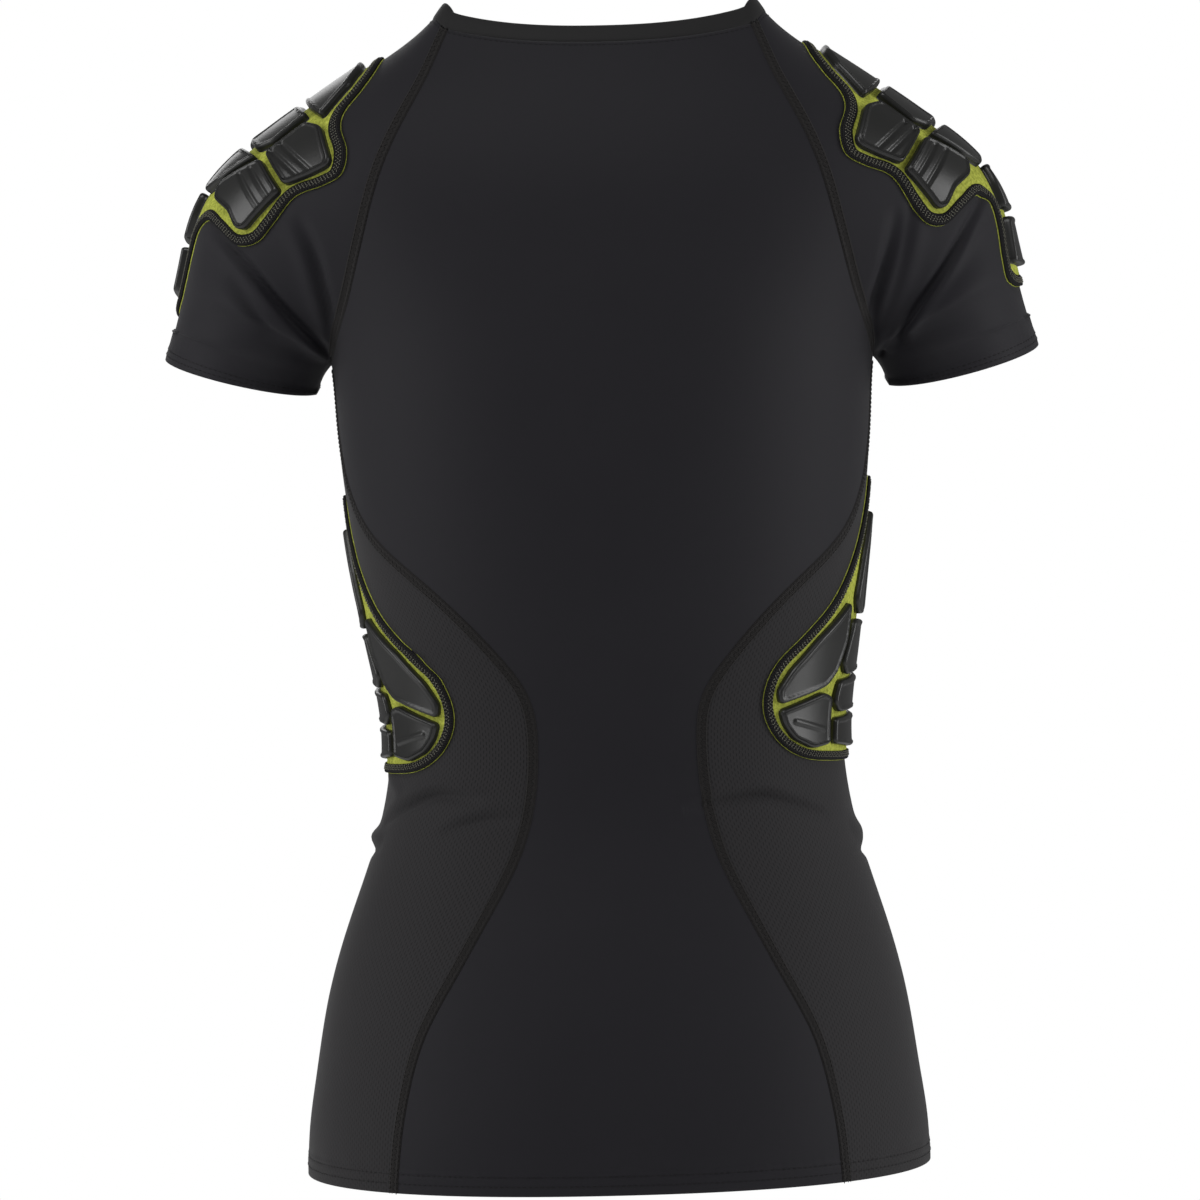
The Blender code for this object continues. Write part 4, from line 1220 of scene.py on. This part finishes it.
def neck_line(distance):
    """A line on the cloth round the neck, this far below the band."""
    edge, below = neck_edges()
    down = unit(below - edge)
    along = np.roll(edge, -1, axis=0) - np.roll(edge, 1, axis=0)
    normals = unit(np.cross(along, down))
    normals *= np.sign(np.sum(normals * (edge - edge.mean(axis=0)), axis=1))[:, None]
    points = edge + distance * down + 0.12 * normals
    return np.concatenate([points, points[:1]]), np.concatenate([normals, normals[:1]])


hem_paths = [hem_lines(HEM_WIDTH - inside) for inside in HEM_STITCHES]
for sleeve in sleeves.values():
    hem_paths += [cuff_line(sleeve, CUFF_WIDTH - inside) for inside in CUFF_STITCHES]
hem_stitches = sew("hem_stitches", hem_paths, sew_black, "black_jersey", Pitch=0.0030, Length=0.0023)
neck_stitches = sew("neck_stitches", [neck_line(NECK_STITCH_DROP)], sew_black, "black_jersey", Pitch=0.0030)
print("stitches:", sum(len(o.data.polygons) for o in (seam_needles, seam_covers, hem_stitches)))

# %% [markdown]
# Each pad is drawn flat, in millimetres along and across the cloth, then laid on it. On a shoulder
# the flat sheet starts at the neck and runs down the sleeve's outer line. On the ribs it is height
# and length round from the side line. The two pads of a pair lie a little differently.

# %% Where the pads lie
SHOULDER_OUTLINE = [
    (27, 0), (30, 24), (40, 43), (55, 56), (71, 64), (80, 73), (89, 89), (101, 98),
    (112, 95), (125, 87), (143, 86), (157, 82), (164, 70), (161, 54), (159, 40),
    (167, 29), (181, 26), (196, 27), (206, 25), (212, 14), (213, 0),
]
RIB_OUTLINE = [
    (-243, 1), (-256, 10), (-283, 27), (-308, 46), (-327, 66), (-341, 80), (-355, 85),
    (-370, 83), (-384, 73), (-392, 57), (-394, 33), (-394, 4), (-393, -40), (-388, -58),
    (-375, -73), (-356, -77), (-341, -70), (-325, -54), (-307, -36), (-282, -19), (-256, -7),
]
SHOULDER_PLACING = {"left": (4.0, -0.05), "right": (-4.0, 0.05)}
RIB_PLACING = {"left": (-5.0, -6.0), "right": (2.0, 4.0)}
SHOULDER_MIDDLE = 90.0
SHOULDER_BEND = 50.0
RIB_ROWS = (-440.0, -215.0, 2.0)
RIB_ANGLES = (-90.0, 90.0, 1.25)


def shoulder_cloth(label):
    """The sleeve laid flat in the pad's own coordinates."""
    sleeve = sleeves[label]
    slide, turn = SHOULDER_PLACING[label]
    own = sleeve.along - slide
    skew = turn * np.maximum(own - SHOULDER_MIDDLE, 0) ** 2 / SHOULDER_BEND
    return Laid(own, sleeve.sideways - skew[:, None], sleeve.points, sleeve.normals)


def rib_cloth(label):
    """The side of the torso laid flat in the pad's own coordinates."""
    along, around = RIB_PLACING[label]
    heights = np.arange(*RIB_ROWS)
    angles = np.arange(RIB_ANGLES[0], RIB_ANGLES[1] + 0.1, RIB_ANGLES[2])
    grid = np.broadcast_to(angles, (len(heights), len(angles)))
    rows = np.broadcast_to(heights[:, None], grid.shape)
    points, normals = torso_cloth(grid, rows, SIDES[label])
    plain = torso_point(grid, rows)
    run = row_lengths(plain)
    middle = len(angles) // 2
    run -= run[:, middle : middle + 1]
    return Laid(heights - along, run - around, points, normals)


# %% [markdown]
# An outline is a smooth closed curve through a few points, and a tile is a straight-sided shape with
# rounded corners. Both can be drawn in by a distance, which is how a border and a bevel are made.

# %% Flat shapes
def spaced(outline, spacing):
    loop = np.concatenate([outline, outline[:1]])
    run = lengths(loop)
    at = np.linspace(0, run[-1], max(6, round(run[-1] / spacing)), endpoint=False)
    return np.stack([np.interp(at, run, loop[:, k]) for k in (0, 1)], axis=1)


def closed_curve(points, spacing):
    points = np.array(points, float)
    before = np.roll(points, 1, axis=0)
    after = np.roll(points, -1, axis=0)
    beyond = np.roll(points, -2, axis=0)
    square = 2 * before - 5 * points + 4 * after - beyond
    cube = 3 * points - before - 3 * after + beyond
    fine = []
    for t in np.linspace(0, 1, 16, endpoint=False):
        fine.append(points + ((after - before) * t + square * t**2 + cube * t**3) / 2)
    return spaced(np.array(fine).transpose(1, 0, 2).reshape(-1, 2), spacing)


def area(outline):
    x, y = outline.T
    return 0.5 * np.sum(x * np.roll(y, -1) - np.roll(x, -1) * y)


def drawn_in(outline, distance):
    ahead = unit(np.roll(outline, -1, axis=0) - outline)
    behind = np.roll(ahead, 1, axis=0)
    turn = np.sign(area(outline))
    normals = [np.stack([-d[:, 1], d[:, 0]], axis=1) * turn for d in (ahead, behind)]
    middle = unit(normals[0] + normals[1])
    mitre = np.maximum(np.sum(middle * normals[0], axis=1), 0.6)
    return outline + middle * (distance / mitre)[:, None]


def rounded(corners, radius, per_side):
    """A straight-sided outline with round corners, with the same number of points whatever its size."""
    ahead = np.roll(corners, -1, axis=0)
    behind = np.roll(corners, 1, axis=0)
    made = []
    for before, corner, after in zip(behind, corners, ahead):
        cuts = []
        for other in (before, after):
            side = other - corner
            length = np.linalg.norm(side)
            cuts.append(corner + side * min(radius / length, 0.42))
        for t in np.linspace(0, 1, 6):
            made.append((1 - t) ** 2 * cuts[0] + 2 * t * (1 - t) * corner + t**2 * cuts[1])
        side = after - corner
        length = np.linalg.norm(side)
        stop = after - side * min(radius / length, 0.42)
        for t in np.linspace(0, 1, per_side + 2)[1:-1]:
            made.append(cuts[1] + (stop - cuts[1]) * t)
    return np.array(made)


def holds(outline, points):
    """Which points a closed outline goes round."""
    x = outline[:, 0][None, :] - points[:, 0][:, None]
    y = outline[:, 1][None, :] - points[:, 1][:, None]
    next_x = np.roll(x, -1, axis=1)
    next_y = np.roll(y, -1, axis=1)
    crossing = (y > 0) != (next_y > 0)
    safe = np.where(crossing, next_y - y, 1)
    return np.count_nonzero(crossing & (x - y * (next_x - x) / safe > 0), axis=1) % 2 == 1


def clearance(outline, points):
    side = np.roll(outline, -1, axis=0) - outline
    apart = points[:, None, :] - outline[None]
    share = np.sum(apart * side, axis=2) / np.sum(side * side, axis=1)
    foot = outline + np.clip(share, 0, 1)[..., None] * side
    return np.linalg.norm(foot - points[:, None, :], axis=2).min(axis=1)


def filled(outline, spacing):
    """Triangles over an outline, with evenly spaced points inside it."""
    low = outline.min(axis=0)
    high = outline.max(axis=0)
    a, b = np.meshgrid(np.arange(low[0], high[0], spacing), np.arange(low[1], high[1], spacing))
    b = b + spacing / 2 * (np.arange(a.shape[1]) % 2)[None, :]
    inside = np.stack([a.ravel(), b.ravel()], axis=1)
    inside = inside[holds(outline, inside)]
    inside = inside[clearance(outline, inside) > 0.55 * spacing]
    points = np.concatenate([outline, inside])
    count = len(outline)
    edges = [(k, (k + 1) % count) for k in range(count)]
    found = delaunay_2d_cdt([tuple(p) for p in points], edges, [], 0, 1e-6)
    source = [origins[0] for origins in found[3]]
    faces = []
    for face in found[2]:
        face = [source[k] for k in face]
        if abs(area(points[face])) > 1e-4 and holds(outline, points[face].mean(axis=0)[None])[0]:
            faces.append(face)
    return points, faces


# %% [markdown]
# The foam sheet is yellow-green, a laminate with a fine knit face, and it shows between the tiles
# and as a thin line outside the edging. The edging is dark knitted tape, flat on the foam.

# %% Foam sheet and edging
FOAM_HEIGHT = 1.5
EDGING_INSETS = {"shoulder": (0.15, 5.9), "rib": (0.15, 5.0)}
EDGING_TOP = 2.35
EDGING_STITCHES = (2.1, 3.2, 4.3)
OUTLINE_SPACING = 2.0
EDGING_SECTION = [
    # share of the width from the outer edge, height above the cloth
    (0.0, 0.5), (0.0, 1.6), (0.1, 2.1), (0.5, EDGING_TOP), (0.88, 2.2), (1.0, 1.9), (1.0, 1.3),
]


def foam_finish():
    finish = Finish("green_foam", 0.8, Specular_IOR_Level=0.25)
    fine = finish.noise(650.0, 4.0)
    broad = finish.noise(60.0)
    shade = (fine * 1.5 + broad * 0.4 - 0.45).clipped()
    finish.wire("Base Color", finish.mix(shade, (0.20, 0.225, 0.020), (0.74, 0.80, 0.130)))
    finish.bump(fine, 0.00012)
    return finish.material


def edging_finish():
    """Knitted tape with small open loops in a honeycomb, with painted shade in the loops."""
    finish = Finish("knit_edging", 0.75, Specular_IOR_Level=0.15)
    across, along = finish.flat()
    column = across / 1.05
    odd = (column.math("FLOOR") * 0.5).math("FRACT")
    u = column.math("FRACT") - 0.5
    v = (along / 1.35 + odd).math("FRACT") - 0.5
    loop = (1.25 - (u * u + v * v) * 6).clipped()
    # The open loops are painted near-black, which is painted shade in them, on the tape's own dark colour.
    finish.wire("Base Color", finish.mix(loop, (0.020, 0.0195, 0.021), (0.005, 0.005, 0.0055)))
    finish.bump(1 - loop, 0.00030)
    return finish.material


foam_green = foam_finish()
knit_edging = edging_finish()


def foam(name, outline, cloth):
    points, faces = filled(outline, 3.2)
    count = len(outline)
    inner = clearance(outline, points)
    top, _ = cloth.at(points, FOAM_HEIGHT - 1.2 * np.exp(-inner / 0.5))
    rim, _ = cloth.at(drawn_in(outline, -0.12), np.full(count, 0.25 * FOAM_HEIGHT))
    foot, _ = cloth.at(points, np.full(len(points), -0.2))
    total = len(points)
    solid = [list(face) for face in faces]
    solid += [[total + count + i for i in reversed(face)] for face in faces]
    for k in range(count):
        j = (k + 1) % count
        solid.append([j, k, total + k, total + j])
        solid.append([total + j, total + k, total + count + k, total + count + j])
    flat = np.concatenate([points, outline, points])[:, ::-1]
    made = piece(name + "_sheet", np.concatenate([top, rim, foot]), solid, foam_green, flat)
    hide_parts(name)
    return made


def edging(name, outline, cloth, inset, reach):
    width = reach - inset
    run = lengths(outline)
    rings = []
    flat = []
    for share, height in EDGING_SECTION:
        place = drawn_in(outline, inset + share * width)
        rings.append(cloth.at(place, np.full(len(outline), height))[0])
        flat.append(np.stack([np.full(len(outline), share * width), run], axis=1))
    count = len(outline)
    faces = grid_faces(len(rings), count, ring=True)
    last = (len(rings) - 1) * count
    faces += ring_faces(last, 0, count)
    made = piece(name + "_tape", np.concatenate(rings), faces, knit_edging, np.concatenate(flat))
    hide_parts(name)
    return made


# %% [markdown]
# The tiles are moulded in one shot, black and smooth. The broad ones have a rounded rim round a
# plate that lies a little lower, with slanted channels pressed in it, and the narrow ones are bars
# with a rounded back. A tile is a stack of outlines, each drawn in further and set higher, closed
# by a triangulated top whose points sink where the plate or a channel is.

# %% Moulded tiles
TILE_RADIUS = 3.2
CAP_SPACING = 0.8
CHANNEL_SPACING = 0.6
TILE_SECTION = [
    # drawn in, share of the height between foam and rim
    (0.0, 0.0), (0.0, 0.40), (0.15, 0.66), (0.40, 0.82), (0.75, 0.92), (1.15, 0.98), (1.6, 1.0),
]
TILE_BOTTOM = 1.3
TILE_SPREAD = {"shoulder": 0.8, "rib": 1.1}
SHOULDER_TILE_TOP = 6.1
RIB_TILE_TOP = 5.3
PLATE_REACH = 6.0
PLATE_DEPTH = 0.6
BAR_RISE = 0.7


def tile_finish():
    finish = Finish("moulded_tile", 0.32, Specular_IOR_Level=0.5)
    haze = finish.noise(22.0, 2.0)
    grain = finish.noise(2600.0)
    finish.wire("Base Color", finish.mix(haze, (0.0170, 0.0170, 0.0165), (0.0235, 0.0240, 0.0230)))
    finish.wire("Roughness", haze * 0.16 + 0.24)
    finish.bump(grain, 0.000012)
    return finish.material


moulded = tile_finish()


def channel_depth(points, channels):
    depth = np.zeros(len(points))
    for a, b, to_a, to_b, half, deep in channels:
        start = np.array([a, b], float)
        run = np.array([to_a, to_b]) - start
        share = np.clip((points - start) @ run / (run @ run), 0, 1)
        off = np.linalg.norm(points - start - share[:, None] * run, axis=1)
        depth += deep * np.clip(1.5 - off / half, 0, 1)
    return depth


def crown_height(edge):
    """How far a tile's top lies above its rim, at a distance inside the rim."""
    if edge.max() > PLATE_REACH:
        share = np.clip((edge - 0.5) / 0.9, 0, 1)
        return -PLATE_DEPTH * share * share * (3 - 2 * share)
    return BAR_RISE * (1 - (1 - edge / edge.max()) ** 2)


def tile(name, corners, cloth, top, channels=()):
    rings = []
    for inset, share in TILE_SECTION:
        outline = rounded(drawn_in(corners, inset), TILE_RADIUS - 0.5 * inset, 3)
        height = TILE_BOTTOM + share * (top - TILE_BOTTOM)
        rings.append(cloth.at(outline, np.full(len(outline), height))[0])
    count = len(outline)
    cap, cap_faces = filled(outline, CHANNEL_SPACING if channels else CAP_SPACING)
    edge = clearance(outline, cap)
    inside = np.clip((edge - 0.6) / 1.4, 0, 1)
    heights = top + crown_height(edge) - inside * channel_depth(cap, channels)
    crown = cloth.at(cap, heights)[0]
    foot, foot_faces = filled(rounded(corners, TILE_RADIUS, 3), 8.0)
    base = cloth.at(foot, np.full(len(foot), TILE_BOTTOM))[0]
    points = [base, *rings[1:-1], crown]
    starts = np.cumsum([0] + [len(p) for p in points])
    faces = [face[::-1] for face in foot_faces]
    for k in range(len(points) - 1):
        faces += ring_faces(starts[k], starts[k + 1], count)
    faces += [[starts[-2] + i for i in face] for face in cap_faces]
    made = piece(name + "_moulding", np.concatenate(points), faces, moulded)
    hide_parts(name)
    return made


# %% [markdown]
# The tiles' corners, flat, for one half of a pad. The other half is their mirror image, and the
# tiles that lie across the middle are drawn as a half and completed.

# %% Tile tables
SHOULDER_PAIRS = {
    "shield_upper": [
        (88, 55), (86, 66), (93, 79), (98, 88), (102, 90), (111, 86), (122, 79), (113, 52),
    ],
    "shield_lower": [
        (118, 53), (127, 79), (140, 77), (153, 74), (155, 69), (149, 59), (147, 44), (140, 38),
    ],
    "bar_upper": [(81, 23), (84, 47), (106, 48), (113, 41), (111, 23), (92, 20)],
    "bar_lower": [(117, 20), (118, 46), (138, 34), (145, 25), (141, 13), (124, 14)],
}
SHOULDER_CENTRES = {
    "neck": [
        (40, 0), (41, 25), (46, 36), (57, 47), (71, 54), (80, 58), (79, 46), (76, 25), (72, 0),
    ],
    "crest_upper": [(77, 0), (81, 16), (92, 13), (109, 16), (112, 0)],
    "crest_lower": [(116, 0), (118, 13), (139, 8), (142, 0)],
    "arm_upper": [(147, 0), (147, 18), (158, 21), (170, 20), (172, 0)],
    "arm_lower": [(177, 0), (176, 18), (199, 20), (202, 0)],
}
RIB_PAIRS = {
    "teardrop": [
        (-311, 34), (-329, 57), (-345, 72), (-356, 78), (-362, 76), (-353, 47),
        (-346, 40), (-330, 34),
    ],
    "round": [(-367, 75), (-358, 48), (-360, 41), (-384, 41), (-386, 54), (-381, 66), (-374, 72)],
}
RIB_SINGLES = {
    "strip_back": [(-262, 3), (-285, 15), (-308, 23), (-315, 18), (-315, 3)],
    "strip_front": [(-262, -1), (-315, 0), (-315, -7), (-304, -10), (-285, -9)],
    "side_upper": [(-320, 24), (-341, 32), (-347, 27), (-343, -13), (-320, -9)],
    "side_middle": [(-352, 33), (-362, 36), (-367, 31), (-364, -16), (-348, -15)],
    "side_lower": [(-372, 34), (-384, 35), (-386, 12), (-385, -18), (-369, -18)],
}
RIB_FRONT_SHIFT = 9.0
CHANNELS = {
    # along and across of one end, then of the other, half width, depth
    "shield_upper": [(104, 48, 109, 88, 1.2, 1.0), (110, 48, 115, 86, 1.2, 1.0)],
    "shield_lower": [(122, 46, 135, 82, 1.2, 1.0), (128, 44, 142, 80, 1.2, 1.0)],
    "round": [(-377, 46, -372, 66, 1.3, -0.9)],
}


def flipped(points, shift=0.0):
    return [(a, shift - b) for a, b in points]


def whole(half):
    return list(half) + flipped(half[-2:0:-1])


def flipped_channels(channels, shift=0.0):
    return [(a, shift - b, c, shift - d, half, deep) for a, b, c, d, half, deep in channels]


def edging_paths(outline, cloth):
    """Three lines of sewing along the tape."""
    paths = []
    for inset in EDGING_STITCHES:
        place = drawn_in(outline, inset)
        place = np.concatenate([place, place[:1]])
        points, normals = cloth.at(place, np.full(len(place), EDGING_TOP + 0.1))
        paths.append((points, normals))
    return paths


grey_thread = thread_finish("grey_thread", (0.230, 0.225, 0.180), 0.7)
sew_grey = stitch_tree(grey_thread)
pads = {label: [] for label in SIDES}
edgings = {label: [] for label in SIDES}
tiles = {label: [] for label in SIDES}


def pad(place, label, cloth, outline, shapes, top):
    pads[label].append(foam(f"{place}_foam_{label}", outline, cloth))
    edgings[label].append(edging(f"{place}_border_{label}", outline, cloth, *EDGING_INSETS[place]))
    for name, (corners, channels) in shapes.items():
        corners = drawn_in(np.array(corners, float), -TILE_SPREAD[place])
        tiles[label].append(tile(f"{place}_tile_{label}_{name}", corners, cloth, top, channels))
    edgings[label].append(sew(
        f"{place}_edging_stitches_{label}", edging_paths(outline, cloth), sew_grey, "knit_border",
        Pitch=0.0019, Length=0.0015, Thread=0.00046, Slant=0.8,
    ))


def paired(shapes, shift=0.0):
    made = {}
    for name, corners in shapes.items():
        channels = CHANNELS.get(name, [])
        made[name + "_back"] = (corners, channels)
        made[name + "_front"] = (flipped(corners, shift), flipped_channels(channels, shift))
    return made


for label in SIDES:
    shapes = {name: (whole(corners), []) for name, corners in SHOULDER_CENTRES.items()}
    shapes.update(paired(SHOULDER_PAIRS))
    outline = closed_curve(whole(SHOULDER_OUTLINE), OUTLINE_SPACING)
    pad("shoulder", label, shoulder_cloth(label), outline, shapes, SHOULDER_TILE_TOP)
    shapes = {name: (corners, []) for name, corners in RIB_SINGLES.items()}
    shapes.update(paired(RIB_PAIRS, RIB_FRONT_SHIFT))
    outline = closed_curve(RIB_OUTLINE, OUTLINE_SPACING)
    pad("rib", label, rib_cloth(label), outline, shapes, RIB_TILE_TOP)
print("pads:", {label: len(made) for label, made in tiles.items()}, "tiles")

# %% [markdown]
# Stretch cloth is cut smaller than the body it goes on. For each cloth piece the flat cut that it is
# sewn from is printed here: a tenth narrower than it is when worn, and a little shorter. The stretch
# is assumed, and the cut is worked out from the cloth as it is modelled, laid flat.

# %% What each piece is cut from
STRETCH = np.array([1.10, 1.03])


def cut(made, pieces=()):
    """Prints the flat cut that a worn piece of cloth is sewn from: its size and surface."""
    uv = np.empty(2 * len(made.data.loops))
    made.data.uv_layers["flat"].data.foreach_get("uv", uv)
    size = np.ptp(uv.reshape(-1, 2), axis=0) / STRETCH
    surface = sum(face.area for face in made.data.polygons) / 2 / STRETCH.prod()
    size = [float(side) for side in np.maximum(size, 0.0101)]
    print(made.name, [round(1000 * side) for side in size], "mm,", round(1e4 * surface), "cm2")


bands = {band_.name.split(".")[0]: band_ for band_ in seam_bands}
cut(back_panel, [seam_needles, seam_covers, hem_stitches, neck_stitches])
cut(front_panel)
cut(band)
for label in SIDES:
    cut(side_panels[label], [bands[f"side_seam_{label}_{side}"] for side in ("back", "front")])
    seams_here = [bands[f"raglan_seam_{label}_{side}"] for side in ("back", "front")]
    cut(sleeve_pieces[label], seams_here + edgings[label])

# %% [markdown]
# Floor, light and camera. The picture was taken level with the middle of the shirt from about two
# metres behind it, so the camera stands there with a long lens. Large soft lights to each side give
# the moulded tiles their grey sheen.

# %% Stage
CAMERA_DISTANCE = 2.100
CAMERA_PLACE = (0.00054, CAMERA_DISTANCE, -0.3067)
FRAME_WIDTH = 0.648
SENSOR = 36.0
FLOOR_HEIGHT = -1.42
FLOOR_RADIUS = 4.9


def flat_material(name, colour, glow):
    made = Finish(name, 0.9)
    made.shader.inputs["Base Color"].default_value = (*colour, 1)
    made.shader.inputs["Emission Color"].default_value = (*colour, 1)
    made.shader.inputs["Emission Strength"].default_value = glow
    return made.material


def floor():
    bpy.ops.mesh.primitive_cylinder_add(
        vertices=96, radius=FLOOR_RADIUS, depth=0.02, location=(0, 0, FLOOR_HEIGHT)
    )
    made = bpy.context.object
    made.name = "floor"
    made.data.materials.append(flat_material("floor_white", (0.86, 0.86, 0.86), 0.25))


def softbox(name, place, target, width, height, power):
    light = bpy.data.lights.new(name, "AREA")
    light.shape = "RECTANGLE"
    light.size = width
    light.size_y = height
    light.energy = power
    made = bpy.data.objects.new(name, light)
    made.location = place
    made.rotation_euler = (Vector(target) - Vector(place)).to_track_quat("-Z", "Y").to_euler()
    bpy.context.scene.collection.objects.link(made)


def white_world(seen, lighting):
    """A white surround that lights the shirt less than it shows."""
    world = bpy.data.worlds.new("surround")
    world.use_nodes = True
    graph = Graph(world.node_tree)
    background = world.node_tree.nodes["Background"]
    camera_ray = graph.value("ShaderNodeLightPath", "Is Camera Ray")
    strength = camera_ray * (seen - lighting) + lighting
    graph.tree.links.new(strength.socket, background.inputs["Strength"])
    background.inputs["Color"].default_value = (1, 1, 1, 1)
    bpy.context.scene.world = world


floor()
softbox("key", (0.5, 1.6, 1.8), (0, 0, -0.25), 1.4, 1.0, 19)
softbox("left_side", (1.9, 0.6, 0.1), (0, 0, -0.3), 0.8, 1.6, 15)
softbox("right_side", (-1.9, 0.5, 0.0), (0, 0, -0.3), 0.8, 1.6, 17)
softbox("front_fill", (0.4, -2.4, 0.8), (0, 0, -0.3), 1.6, 1.4, 12)
white_world(1.0, 0.14)
bpy.context.scene.view_settings.view_transform = "Standard"
camera = bpy.data.objects.new("camera", bpy.data.cameras.new("camera"))
camera.data.sensor_width = SENSOR
camera.data.lens = SENSOR * CAMERA_DISTANCE / FRAME_WIDTH
camera.location = CAMERA_PLACE
camera.rotation_euler = (math.radians(90), 0, math.radians(180))
bpy.context.scene.collection.objects.link(camera)
bpy.context.scene.camera = camera
print("camera: lens", round(camera.data.lens, 1), "mm")
